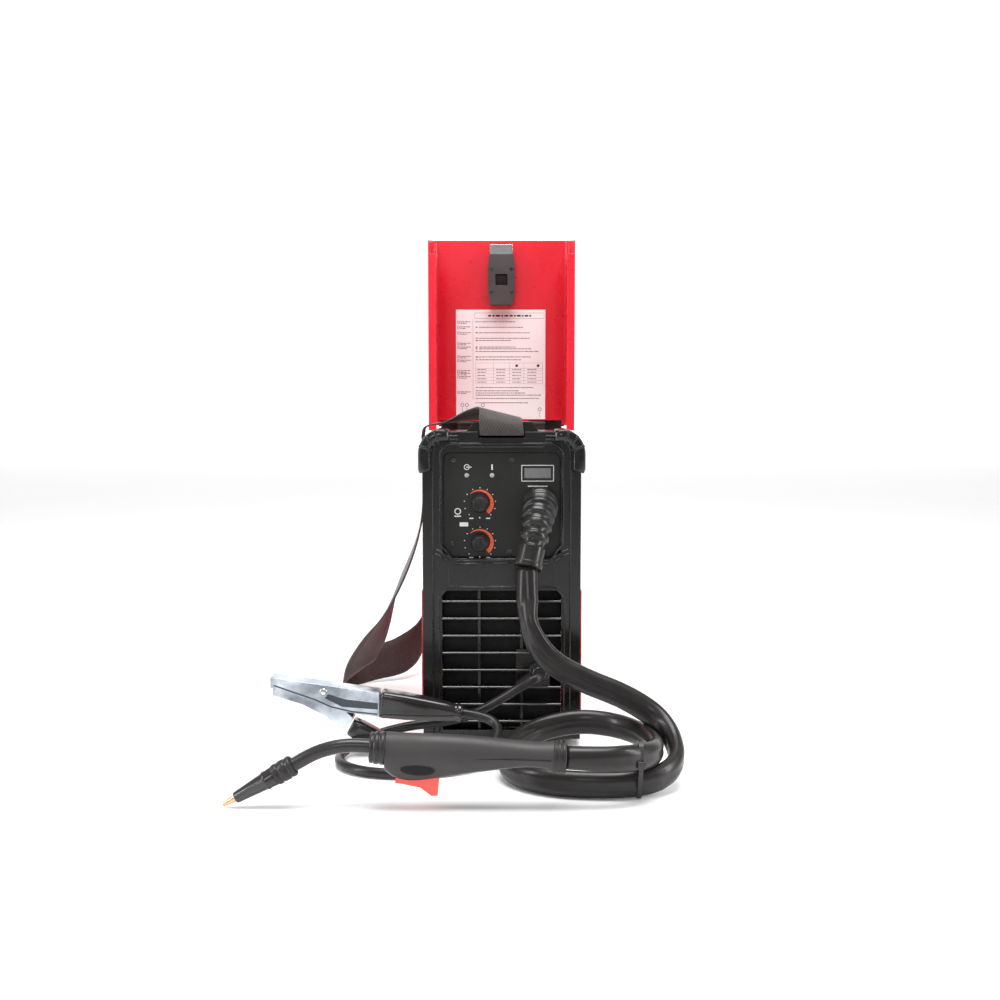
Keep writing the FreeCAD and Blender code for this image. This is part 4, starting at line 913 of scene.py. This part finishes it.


# Dark fillers: near-black sheets behind the louvres, along the hood's hinge and behind the strap's slot, as
# painted shade in those gaps. They close the gaps that would show light.
# Near black, used for real black parts and for painted shade.
black_and_painted_shade = moulded("black_and_painted_shade", (0.004, 0.004, 0.004), (0.008, 0.008, 0.008), 0.7, grain=1800,
                       depth=0.5,
                       edge=0)
for label, low, high in (("grille_screen", (-0.0655, -0.1976, 0.0185), (0.0655, -0.1966, 0.1745)),
                         ("hinge_seal", (-0.0865, 0.1868, 0.3405), (0.0865, 0.1885, 0.3525)),
                         ("slot_back", (-0.0265, -0.1893, 0.3425), (0.0265, -0.1880, 0.3515))):
    filler = block(label, low, high, black_and_painted_shade, 0.0003)
    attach(filler, "case")


# Hood and centre wall: folded sheet in the same gloss red, its side flanges bent forward.
# The hood stands up on a dark steel hinge.
hood_red = painted("hood_red", (0.64, 0.002, 0.016), (0.70, 0.004, 0.024))
dress(hood_red, "hood", "centre_partition")
hinge_dark = metal("hinge_dark", (0.035, 0.035, 0.036), (0.07, 0.07, 0.07), 0.4, metallic=0.7)
dress(hinge_dark, "hinge_leaf", "hinge_pin")


# Latch: a charcoal moulding screwed to the hood with a bright plated slide that stands out at its top.
# Four small screws hold it, round a square finger recess.
latch_grey = moulded("latch_grey", (0.055, 0.055, 0.056), (0.085, 0.085, 0.086), 0.42, grain=1200,
                     depth=0.4,
                     edge=0.0012, coat=0.1)
chrome = metal("chrome", (0.6, 0.61, 0.62), (0.8, 0.81, 0.82), 0.14, grain=500, depth=0.1, edge=0.0006)
dress(latch_grey, "latch_body")
dress(chrome, "latch_bolt")
latch_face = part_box("latch_body")[0].y
dots = []
for x in (-0.0135, 0.0135):
    for z in (0.5235, 0.5545):
        profile = [(-0.0004, 0.0022), (0.0004, 0.0022), (0.0009, 0.0017), (0.0010, 0.0008), (0.0004,
                                                                                             0.0006)]
        dots.append(turned("latch_dot", (x, latch_face, z), (0, -1, 0), profile, screw_black, 20))
bpy.context.view_layer.update()
latch_screws = joined("latch_screws", dots)
# A near-black pad in the finger recess is painted shade.
pad = block("latch_pad", (-0.0078, latch_face + 0.0012, 0.5322), (0.0078, latch_face + 0.0022, 0.5468),
            black_and_painted_shade, 0.0003)
for piece in (latch_screws, pad):
    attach(piece, "hood")


# Set-up label: a white paper sheet with grey rules, dummy lines of print and round callouts.
# Every line of print is a row of plain dashes.
# The paper is tinted cyan to cancel the red light the hood bounces onto it: a painted counter to that reflection.
paper = moulded("label_paper", (0.84, 0.95, 0.96), (0.90, 0.98, 0.98), 0.45, grain=1500, depth=0.15, edge=0,
                coat=0.1)
dress(paper, "setup_label")
label_low, label_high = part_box("setup_label")
label_wide, label_tall = label_high.x - label_low.x, label_high.z - label_low.z
print_grey = ink("print_grey", (0.06, 0.06, 0.07))
print_dark = ink("print_dark", (0.02, 0.02, 0.022))
dash_maker = random.Random(7)


def on_label(u, v):
    """A place on the label from its left edge and its top, both as shares."""
    return label_low.x + u * label_wide, label_high.z - v * label_tall


def dashes(u0, u1, v, tall=0.0011, mean=0.03, gap=0.007):
    """A dummy line of print: dashes of uneven length."""
    made, u = [], u0
    while u < u1 - 0.008:
        reach = min(mean * dash_maker.uniform(0.35, 1.4), u1 - u)
        x, z = on_label(u + reach / 2, v)
        made.append(bar(x, z, reach * label_wide, tall))
        u += reach + gap
    return made


light_print, dark_print = [], []
for v in (0.03, 0.08):
    light_print.append(strip([on_label(0.21, v), on_label(0.985, v)], 0.0003))
for u in (0.21, 0.985):
    light_print.append(strip([on_label(u, 0.03), on_label(u, 0.08)], 0.0003))
dark_print += dashes(0.36, 0.84, 0.055, 0.0024, 0.05, 0.012)
light_print.append(strip([on_label(0.19, 0.08), on_label(0.19, 0.82)], 0.0003))
for v in (0.11, 0.156, 0.209, 0.306, 0.34, 0.425, 0.46, 0.556, 0.58, 0.61, 0.75):
    light_print += dashes(0.05, 0.165, v, 0.0009)
    light_print += dashes(0.05, 0.12, v + 0.014, 0.0009)
    dark_print += ring_halves(*on_label(0.028, v + 0.004), 0.0016, 0.0005)
for v in (0.11, 0.16, 0.21, 0.26, 0.28, 0.34, 0.356, 0.38, 0.43, 0.456):
    dark_print += dashes(0.22, 0.25, v, 0.0013)
    light_print += dashes(0.26, dash_maker.uniform(0.6, 0.96), v, 0.0010)
for v in (0.485, 0.535, 0.555, 0.585, 0.615, 0.645, 0.675):
    light_print.append(strip([on_label(0.22, v), on_label(0.97, v)], 0.00022))
for u in (0.22, 0.42, 0.60, 0.76, 0.97):
    light_print.append(strip([on_label(u, 0.485), on_label(u, 0.675)], 0.00022))
for v in (0.545, 0.57, 0.60, 0.63, 0.66):
    for u in (0.24, 0.45, 0.63, 0.80):
        light_print += dashes(u, u + 0.10, v, 0.0009)
for u in (0.68, 0.92):
    dark_print.append(corner(*on_label(u, 0.51), 0.0019, 0, 345, 16))
for v in (0.71, 0.74, 0.76, 0.78, 0.81, 0.85):
    light_print += dashes(0.22, dash_maker.uniform(0.7, 0.97), v, 0.0010)
for u, v in ((0.07, 0.87), (0.12, 0.87), (0.30, 0.87), (0.94, 0.91)):
    dark_print += ring_halves(*on_label(u, v), 0.0021, 0.0006)
    dark_print.append(strip([on_label(u, v + 0.02), on_label(u, v + 0.075)], 0.0004))
for label, outlines, material in (("light_print", light_print, print_grey), ("dark_print", dark_print,
                                                                             print_dark)):
    printed = add_mesh(label, *film(outlines, label_low.y, 0.00006), material, smooth=False)
    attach(printed, "hood")


# Gun handle: two charcoal mouldings held between screwed collars, with an oval blank badge near the trigger.
# The collars are turned with steps and grip rings; the neck is a dull black sleeve over the bent tube.
gun_tilt = math.radians(3.33)
gun_start = Vector((0.061, -0.429, 0.0493))
gun_ahead = Vector((-math.cos(gun_tilt), 0, math.sin(gun_tilt)))
gun_up = Vector((math.sin(gun_tilt), 0, math.cos(gun_tilt)))
gun_side = Vector((0, -1, 0))


def on_gun(reach, side, rise):
    """A place from the gun's rear end, in metres along it, towards the viewer and up."""
    return gun_start + gun_ahead * reach + gun_side * side + gun_up * rise


gun_grey = moulded("gun_grey", (0.034, 0.031, 0.031), (0.050, 0.046, 0.046), 0.46, grain=1400, depth=0.5,
                   edge=0.001)
collar_black = moulded("collar_black", (0.014, 0.0125, 0.0125), (0.024, 0.022, 0.022), 0.42, grain=1100,
                       depth=0.3,
                       edge=0, coat=0.12)
dress(gun_grey, "gun_handle_left", "gun_handle_right")
rear_profile = [(0, 0.0118), (0, 0.0148), (0.0008, 0.0156), (0.0032, 0.016), (0.0038, 0.0152), (0.0048,
                                                                                                0.0152),
                (0.0054, 0.016), (0.0078, 0.016), (0.0084, 0.0152), (0.0094, 0.0152), (0.01, 0.0158),
                (0.0114, 0.0156), (0.012, 0.015)]
rear_collar = turned("rear_collar", on_gun(0, 0, 0), gun_ahead, rear_profile, collar_black, 64)
front_profile = [(0, 0.0152), (0.0006, 0.016), (0.0045, 0.016), (0.0052, 0.0151), (0.0062, 0.0151),
                 (0.0068, 0.0158), (0.0102, 0.0157), (0.0108, 0.0146), (0.0118, 0.0145), (0.0124, 0.0150),
                 (0.0144, 0.0146), (0.015, 0.0138), (0.015, 0.0072)]
front_collar = turned("front_collar", on_gun(0.172, 0, -0.001), gun_ahead, front_profile, collar_black, 64)
badge_blank = add_mesh("badge_blank", *sweep([
    [on_gun(0.140, depth, -0.0165) + gun_ahead * 0.0165 * size * math.cos(2 * math.pi * n / 48)
     + gun_up * 0.0050 * size * math.sin(2 * math.pi * n / 48) for n in range(48)]
    for depth, size in ((0.0075, 1.0), (0.0148, 1.0), (0.0155, 0.96), (0.0157, 0.6))]), black_and_painted_shade)
seam = []
for n in range(25):
    t = n / 24
    reach = 0.0145 + 0.155 * t
    rise = -0.0005 - 0.0075 * t ** 1.6
    width = 0.01452 if t < 0.4 else 0.01452 + 0.0008 * (t - 0.4)
    seam.append(on_gun(reach, width * math.sqrt(max(0.1, 1 - (rise / 0.019) ** 2)) - 0.0001, rise))
seam_rings = []
for n, spot in enumerate(seam):
    heading = (seam[min(n + 1, 24)] - seam[max(n - 1, 0)]).normalized()
    seam_rings.append(ring_about(spot, heading, 0.0004, 8, gun_up))
seam_line = add_mesh("seam_line", *sweep(seam_rings), black_and_painted_shade)
for piece, node in ((rear_collar, "gun_rear_collar"), (front_collar, "gun_front_collar"), (badge_blank,
                                                                                           None),
                    (seam_line, None)):
    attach(piece, "case")
    if node:
        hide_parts(node)


# Neck and nozzle: a bent steel tube in a rubber sleeve, a ribbed grip ring, a dipped conical nozzle and a
# copper contact tip.
neck_black = moulded("neck_black", (0.016, 0.015, 0.015), (0.028, 0.026, 0.026), 0.36, grain=900, depth=0.2,
                     edge=0, coat=0.2)
nozzle_dip = moulded("nozzle_dip", (0.014, 0.0125, 0.0125), (0.024, 0.022, 0.022), 0.26, grain=500,
                     depth=0.2,
                     edge=0.0008, coat=0.5)
copper = metal("copper", (0.70, 0.36, 0.20), (0.86, 0.52, 0.33), 0.24, grain=700, depth=0.15, edge=0.0005)
dress(neck_black, "gun_neck")
dress(copper, "contact_tip")
bend = math.radians(33.3)
bend_end = on_gun(0.198 + 0.090 * math.sin(bend), 0, -0.090 * (1 - math.cos(bend)))
nozzle_ahead = gun_ahead * math.cos(bend) - gun_up * math.sin(bend)
ring_start = bend_end + nozzle_ahead * 0.014
ring_profile = [(0, 0.0069), (0, 0.0092), (0.0012, 0.0103), (0.0042, 0.0105), (0.005, 0.0097), (0.0062,
                                                                                                0.0097),
                (0.007, 0.0105), (0.0128, 0.0105), (0.0136, 0.0097), (0.0148, 0.0097), (0.0156, 0.0105),
                (0.0186, 0.0104), (0.0199, 0.0098)]
ring_piece = turned("nozzle_grip_ring", ring_start, nozzle_ahead, ring_profile, collar_black, 64)
nozzle_profile = [(0, 0.0092), (0.0006, 0.0095), (0.008, 0.0089), (0.0088, 0.0094), (0.0104, 0.0094),
                  (0.0112, 0.0087), (0.0432, 0.0057), (0.044, 0.0053), (0.0438, 0.0042), (0.0425, 0.0040)]
nozzle_piece = turned("nozzle_cone", ring_start + nozzle_ahead * 0.02, nozzle_ahead, nozzle_profile,
                      nozzle_dip, 64)
for piece, node, slot in ((ring_piece, "nozzle_ring", "gun_plastic"), (nozzle_piece, "gun_nozzle",
                                                                       "vinyl")):
    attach(piece, "case")
    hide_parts(node)


# Trigger: one salmon red lever, hinged on a pin near the neck and curved for a finger.
# It is satin with rounded edges.
trigger_red = moulded("trigger_red", (0.80, 0.085, 0.06), (0.92, 0.13, 0.095), 0.34, grain=900, depth=0.2,
                      edge=0.0012, coat=0.25)
dress(trigger_red, "gun_trigger")


# Earth lead's gland: a black six-sided nut and a grooved nose that grips the lead, screwed into the front.
# It stands on a small square boss.
gland_black = moulded("gland_black", (0.010, 0.0095, 0.0095), (0.02, 0.019, 0.019), 0.26, grain=900,
                      depth=0.2,
                      edge=0, coat=0.5)
gland_at = Vector((0.0415, -0.2095, 0.0846))
facets = [[gland_at + Vector((r * math.cos(math.radians(60 * n + 30)), -d,
                              r * math.sin(math.radians(60 * n + 30))))
           for n in range(6)] for d, r in ((-0.001, 0.0118), (0, 0.0122), (0.0060, 0.0122), (0.0068, 0.0112))]
gland_nut = add_mesh("gland_nut", *sweep(facets), gland_black, smooth=False)
gland_nose = turned("gland_nose", gland_at, (0, -1, 0), [
    (0.0060, 0.0098), (0.0085, 0.0100), (0.0092, 0.0089), (0.0102, 0.0089), (0.0108, 0.0094), (0.0122,
                                                                                               0.0091),
    (0.0128, 0.0082), (0.0136, 0.0082), (0.0142, 0.0080), (0.0150, 0.0074), (0.0155, 0.0064), (0.0155,
                                                                                               0.0054)],
    gland_black, 48)
bpy.context.view_layer.update()
earth_nut = joined("earth_nut", [gland_nut, gland_nose])
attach(earth_nut, "case")
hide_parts("earth_gland")


# Earth clamp: pressed zinc-plated levers on a steel rivet, with a torsion spring.
# The handles end in thick dipped vinyl sleeves, square at the lever and round at the lead.
zinc = metal("zinc", (0.20, 0.23, 0.27), (0.66, 0.72, 0.78), 0.2, grain=110, depth=0.5, edge=0.001,
             stretch=(0.3, 1, 1))
lever_shade = moulded("lever_shade", (0.02, 0.026, 0.036), (0.05, 0.06, 0.08), 0.3, edge=0, coat=0.3)
lever_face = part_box("clamp_upper_lever")[0].y
# Dark films on the upper lever: painted shade in its slot and a painted shadow along it.
lever_slot = add_mesh("lever_slot", *film([[(-0.1905, 0.0655), (-0.172, 0.0560), (-0.1335, 0.0530),
                                            (-0.1335, 0.0600),
                                            (-0.168, 0.0640), (-0.187, 0.0700)]], lever_face, 0.0002),
                      lever_shade, smooth=False)
lever_shadow = add_mesh("lever_shadow", *film([strip([(-0.2455, 0.0795), (-0.225, 0.0722), (-0.202, 0.0642),
                                                      (-0.184, 0.0560), (-0.162, 0.0508), (-0.134, 0.0478)],
                                                     0.0016)], lever_face, 0.0002), lever_shade, smooth=False)
lever_rivet = turned("lever_rivet", (-0.192, lever_face, 0.072), (0, -1, 0),
                     [(-0.0005, 0.0042), (0.0003, 0.0042), (0.0010, 0.0034), (0.0014, 0.0018), (0.0015,
                                                                                                0.0002)],
                     chrome, 32)
for piece, slot in ((lever_slot, "zinc"), (lever_shadow, "zinc"), (lever_rivet, "steel")):
    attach(piece, "case")
spring_steel = metal("spring_steel", (0.2, 0.2, 0.21), (0.4, 0.4, 0.41), 0.28)
dress(zinc, "clamp_upper_lever", "clamp_lower_lever")
dress(spring_steel, "clamp_rivet", "clamp_spring")
sleeve_vinyl = moulded("sleeve_vinyl", (0.012, 0.0105, 0.0105), (0.022, 0.0195, 0.0195), 0.22, grain=260,
                       depth=0.25, edge=0, coat=0.6)


def sleeve(name, start, end, stations, material):
    """A dipped sleeve from (share, half width, half height, squareness) stations."""
    start, end = Vector(start), Vector(end)
    heading = (end - start).normalized()
    side = Vector((0, 1, 0))
    rise = side.cross(heading).normalized()
    rings = []
    for share, wide, tall, square in stations:
        ring = []
        for n in range(48):
            angle = 2 * math.pi * n / 48
            c, s = math.cos(angle), math.sin(angle)
            c = math.copysign(abs(c) ** (2 / square), c)
            s = math.copysign(abs(s) ** (2 / square), s)
            ring.append(start.lerp(end, share) + side * c * wide + rise * s * tall)
        rings.append(ring)
    return add_mesh(name, *sweep(rings), material)


upper_stations = [(0, 0.0115, 0.0125, 5), (0.015, 0.0132, 0.0142, 5), (0.05, 0.0136, 0.0146, 5),
                  (0.30, 0.0132, 0.0140, 4.5), (0.55, 0.0122, 0.0126, 3.6), (0.78, 0.0105, 0.0108, 2.7),
                  (0.90, 0.0092, 0.0094, 2.2), (0.925, 0.0090, 0.0090, 2), (0.93, 0.0098, 0.0098, 2),
                  (0.985, 0.0098, 0.0098, 2), (1.0, 0.0088, 0.0088, 2)]
upper_vinyl = sleeve("upper_vinyl", (-0.1315, -0.245, 0.0577), (-0.0427, -0.245, 0.0462), upper_stations,
                     sleeve_vinyl)
lower_start = Vector((-0.1640, -0.245, 0.0325))
lower_end = lower_start + Vector((1, 0, -0.55)).normalized() * 0.0345
lower_stations = [(0, 0.0092, 0.0080, 4.5), (0.04, 0.0108, 0.0094, 4.5), (0.3, 0.0116, 0.0108, 4),
                  (0.8, 0.0108, 0.0110, 3.6), (0.95, 0.0100, 0.0102, 3.2), (1.0, 0.0085, 0.0090, 3)]
lower_vinyl = sleeve("lower_vinyl", lower_start, lower_end, lower_stations, sleeve_vinyl)
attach(upper_vinyl, "case")
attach(lower_vinyl, "clamp_jaw")
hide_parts("clamp_upper_sleeve")
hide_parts("clamp_lower_sleeve")


# Shoulder strap: one layer of flat woven webbing from the front bracket down to the floor and up to the rear one.
# Its stations hold a place in millimetres and the direction across the band there.
webbing, tree, shader, place = node_tree("webbing")
run_along = tree.nodes.new("ShaderNodeAttribute")
run_along.attribute_name = "run"
run_across = tree.nodes.new("ShaderNodeAttribute")
run_across.attribute_name = "across"
waves = []
for source, count in ((run_along, 1250.0), (run_across, 1900.0)):
    turn = tree.nodes.new("ShaderNodeMath")
    turn.operation = "MULTIPLY"
    turn.inputs[1].default_value = count
    tree.links.new(source.outputs["Fac"], turn.inputs[0])
    wave = tree.nodes.new("ShaderNodeMath")
    wave.operation = "SINE"
    tree.links.new(turn.outputs[0], wave.inputs[0])
    waves.append(wave.outputs[0])
weave = tree.nodes.new("ShaderNodeMath")
weave.operation = "MULTIPLY"
tree.links.new(waves[0], weave.inputs[0])
tree.links.new(waves[1], weave.inputs[1])
thread = spread(tree, weave.outputs[0], 0, 1, -0.6, 0.6)
faded = colours(tree, spread(tree, speckle(tree, place, 25, 4), 0, 1), (0.030, 0.021, 0.019), (0.048, 0.036,
                                                                                               0.033))
tree.links.new(colours(tree, thread, (0.016, 0.011, 0.010), faded), shader.inputs["Base Color"])
tree.links.new(spread(tree, speckle(tree, place, 300, 3), 0.62, 0.82), shader.inputs["Roughness"])
shader.inputs["Sheen Weight"].default_value = 0.25
tree.links.new(relief(tree, thread, 0.5, 0.0004), shader.inputs["Normal"])
strap_stations = [
    ((0, -190, 347.3), (1, 0, 0)), ((0, -210, 347.3), (1, 0, 0)), ((0, -214, 350), (1, 0, 0)),
    ((-1, -212, 362), (1, 0, -0.15)), ((-2, -200, 370), (1, 0, -0.25)),
    ((-14, -184, 369), (1, 0.35, -0.2)), ((-50, -154, 360), (0.5, 0.85, 0)),
    ((-84, -134, 354), (0.05, 1, 0)), ((-89.7, -134, 344.5), (0, 1, 0)), ((-89.6, -134, 330), (0, 1, 0)),
    ((-89.9, -126, 262), (0.02, 0.97, 0.25)), ((-104, -96, 205), (0.1, 0.87, 0.47)),
    ((-132, -58, 142), (0.2, 0.83, 0.5)), ((-157, -18, 90), (0.55, 0.64, 0.2)),
    ((-175, 12, 54), (0.8, 0.25, 0.35)), ((-186, 36, 30), (0.8, -0.1, 0.6)),
    ((-200, 78, 24), (0.3, 0.2, 0.9)), ((-178, 106, 26), (-0.3, 0.1, 0.95)),
    ((-135, 128, 34), (-0.3, 0, 0.95)), ((-108, 170, 60), (0, -0.3, 1)),
    ((-104, 214, 130), (0, -0.5, 0.9)), ((-98, 242, 240), (0.3, -0.5, 0.3)),
    ((-62, 250, 330), (0.7, 0, 0.5)), ((-20, 234, 372), (0.95, 0, 0.1)), ((-2, 216, 376), (1, 0, 0)),
    ((0, 196, 374), (1, 0, 0)), ((0, 193.5, 366), (1, 0, 0)), ((0, 194, 357), (1, 0, 0)),
    ((0, 199, 355.6), (1, 0, 0)), ((0, 216, 355.6), (1, 0, 0))]


def eased(rows, share):
    """One row of numbers on a smooth line through the rows."""
    reach = share * (len(rows) - 1)
    n = min(int(reach), len(rows) - 2)
    t = reach - n
    blend = []
    for a, b, c, d in zip(rows[max(n - 1, 0)], rows[n], rows[n + 1], rows[min(n + 2, len(rows) - 1)]):
        blend.append(0.5 * (2 * b + (c - a) * t + (2 * a - 5 * b + 4 * c - d) * t ** 2
                            + (3 * b - a - 3 * c + d) * t ** 3))
    return Vector(blend)


strap_half, strap_thick = 0.024, 0.002
strap_profile = [(-1, -0.3), (-0.985, -1), (-0.5, -1), (0, -1), (0.5, -1), (0.985, -1), (1, -0.3), (1, 0.3),
                 (0.985, 1), (0.5, 1), (0, 1), (-0.5, 1), (-0.985, 1), (-1, 0.3)]
strap_steps = 8 * (len(strap_stations) - 1)
middles = [tuple(value / 1000 for value in spot) for spot, across in strap_stations]
acrosses = [tuple(Vector(across).normalized()) for spot, across in strap_stations]
strap_rings, strap_runs = [], []
strap_length = 0.0
spot_before = None
for n in range(strap_steps + 1):
    share = n / strap_steps
    spot = eased(middles, share)
    across = eased(acrosses, share).normalized()
    run = eased(middles, min(1, share + 0.002)) - eased(middles, max(0, share - 0.002))
    face = run.cross(across).normalized()
    if spot_before is not None:
        strap_length += (spot - spot_before).length
    spot_before = spot
    strap_rings.append([spot + across * a * strap_half + face * b * strap_thick / 2 for a,
                        b in strap_profile])
    strap_runs += [(strap_length, a * strap_half) for a, b in strap_profile]
strap_band = add_mesh("strap_band", *sweep(strap_rings), webbing)
for label, column in (("run", 0), ("across", 1)):
    layer = strap_band.data.attributes.new(label, "FLOAT", "POINT")
    layer.data.foreach_set("value", [row[column] for row in strap_runs])
print("strap length", round(strap_length, 4))
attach(strap_band, "case")
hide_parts("shoulder_strap")


# Works inside the case: spool and drive on one side, transformer, choke, rectifier and fan on the other.
# They are bare castings, varnished steel, enamelled copper and moulded plastic.
spool_plastic = moulded("spool_plastic", (0.03, 0.03, 0.031), (0.05, 0.05, 0.051), 0.45, edge=0.001)
wire_copper = metal("wire_copper", (0.5, 0.22, 0.11), (0.72, 0.38, 0.22), 0.25, grain=900, depth=0.6,
                    stretch=(6, 1, 1))
machined = metal("machined", (0.42, 0.42, 0.43), (0.62, 0.62, 0.63), 0.3, edge=0.0006)
cast_alloy = metal("cast_alloy", (0.45, 0.45, 0.46), (0.62, 0.62, 0.63), 0.42, grain=800, depth=0.5,
                   edge=0.001)
brass = metal("brass", (0.55, 0.36, 0.12), (0.72, 0.5, 0.2), 0.26, edge=0.0005)
enamel = metal("enamel", (0.22, 0.055, 0.02), (0.36, 0.1, 0.04), 0.3, grain=500, depth=0.6, stretch=(1, 1,
                                                                                                     8),
               metallic=0.6)
core_varnish = metal("core_varnish", (0.05, 0.05, 0.055), (0.11, 0.11, 0.12), 0.42, grain=900, depth=0.6,
                     stretch=(1, 12, 1), metallic=0.7)
board_green = moulded("board_green", (0.008, 0.07, 0.025), (0.015, 0.12, 0.04), 0.35, grain=500, edge=0,
                      coat=0.3)
dress(spool_plastic, "spool_hub", "wire_spool", "fan_frame", "fan_rotor", "tension_knob")
dress(wire_copper, "welding_wire")
dress(machined, "drive_roll", "idle_roll", "feed_motor")
dress(cast_alloy, "drive_frame", "pressure_arm", "rectifier_heatsink")
dress(brass, "gun_receiver", "spool_nut")
dress(enamel, "transformer_winding", "output_choke")
dress(core_varnish, "transformer_core")
dress(board_green, "control_board")
dress(knob_black, "potentiometers", "power_switch", "power_rocker", "power_cord_gland")


# A white paper sweep and soft boxes: one big overhead, one from each side for the bright lines along the edges.
floor_white, tree, shader, place = node_tree("floor_white")
tree.links.new(colours(tree, speckle(tree, place, 2), (0.93, 0.93, 0.93), (0.97, 0.97, 0.97)),
               shader.inputs["Base Color"])
shader.inputs["Roughness"].default_value = 0.32
floor = add_mesh("floor", [(-6, -4, 0), (6, -4, 0), (6, 6, 0), (-6, 6, 0)], [(0, 1, 2, 3)], floor_white)
wall_glow, tree, shader, place = node_tree("wall_glow")
shader.inputs["Base Color"].default_value = (0.9, 0.9, 0.9, 1)
shader.inputs["Emission Color"].default_value = (1, 1, 1, 1)
shader.inputs["Emission Strength"].default_value = 1.0
wall = add_mesh("wall", [(-6, 5.9, 0), (6, 5.9, 0), (6, 5.9, 5), (-6, 5.9, 5)], [(0, 1, 2, 3)], wall_glow)


def soft_box(name, place, target, width, height, power, colour=(1, 1, 1)):
    """A rectangular studio light aimed at a point."""
    lamp = bpy.data.lights.new(name, "AREA")
    lamp.shape = "RECTANGLE"
    lamp.size, lamp.size_y = width, height
    lamp.energy = power
    lamp.color = colour
    light = bpy.data.objects.new(name, lamp)
    light.location = place
    light.rotation_euler = (Vector(target) - Vector(place)).to_track_quat("-Z", "Y").to_euler()
    bpy.context.collection.objects.link(light)
    return light


middle = (0, 0, 0.25)
soft_box("overhead", (0, -0.4, 2.2), (0, 0, 0.1), 1.6, 1.2, 66)
soft_box("left_side", (-1.9, -0.9, 0.9), middle, 0.35, 1.5, 24)
soft_box("right_side", (1.9, -0.7, 0.9), middle, 0.35, 1.5, 22)
soft_box("front_fill", (-0.5, -2.6, 1.3), middle, 0.7, 0.3, 7)

world = bpy.data.worlds.new("studio")
world.use_nodes = True
world.node_tree.nodes["Background"].inputs["Color"].default_value = (1, 1, 1, 1)
world.node_tree.nodes["Background"].inputs["Strength"].default_value = 0.32
bpy.context.scene.world = world
bpy.context.scene.view_settings.view_transform = "Standard"
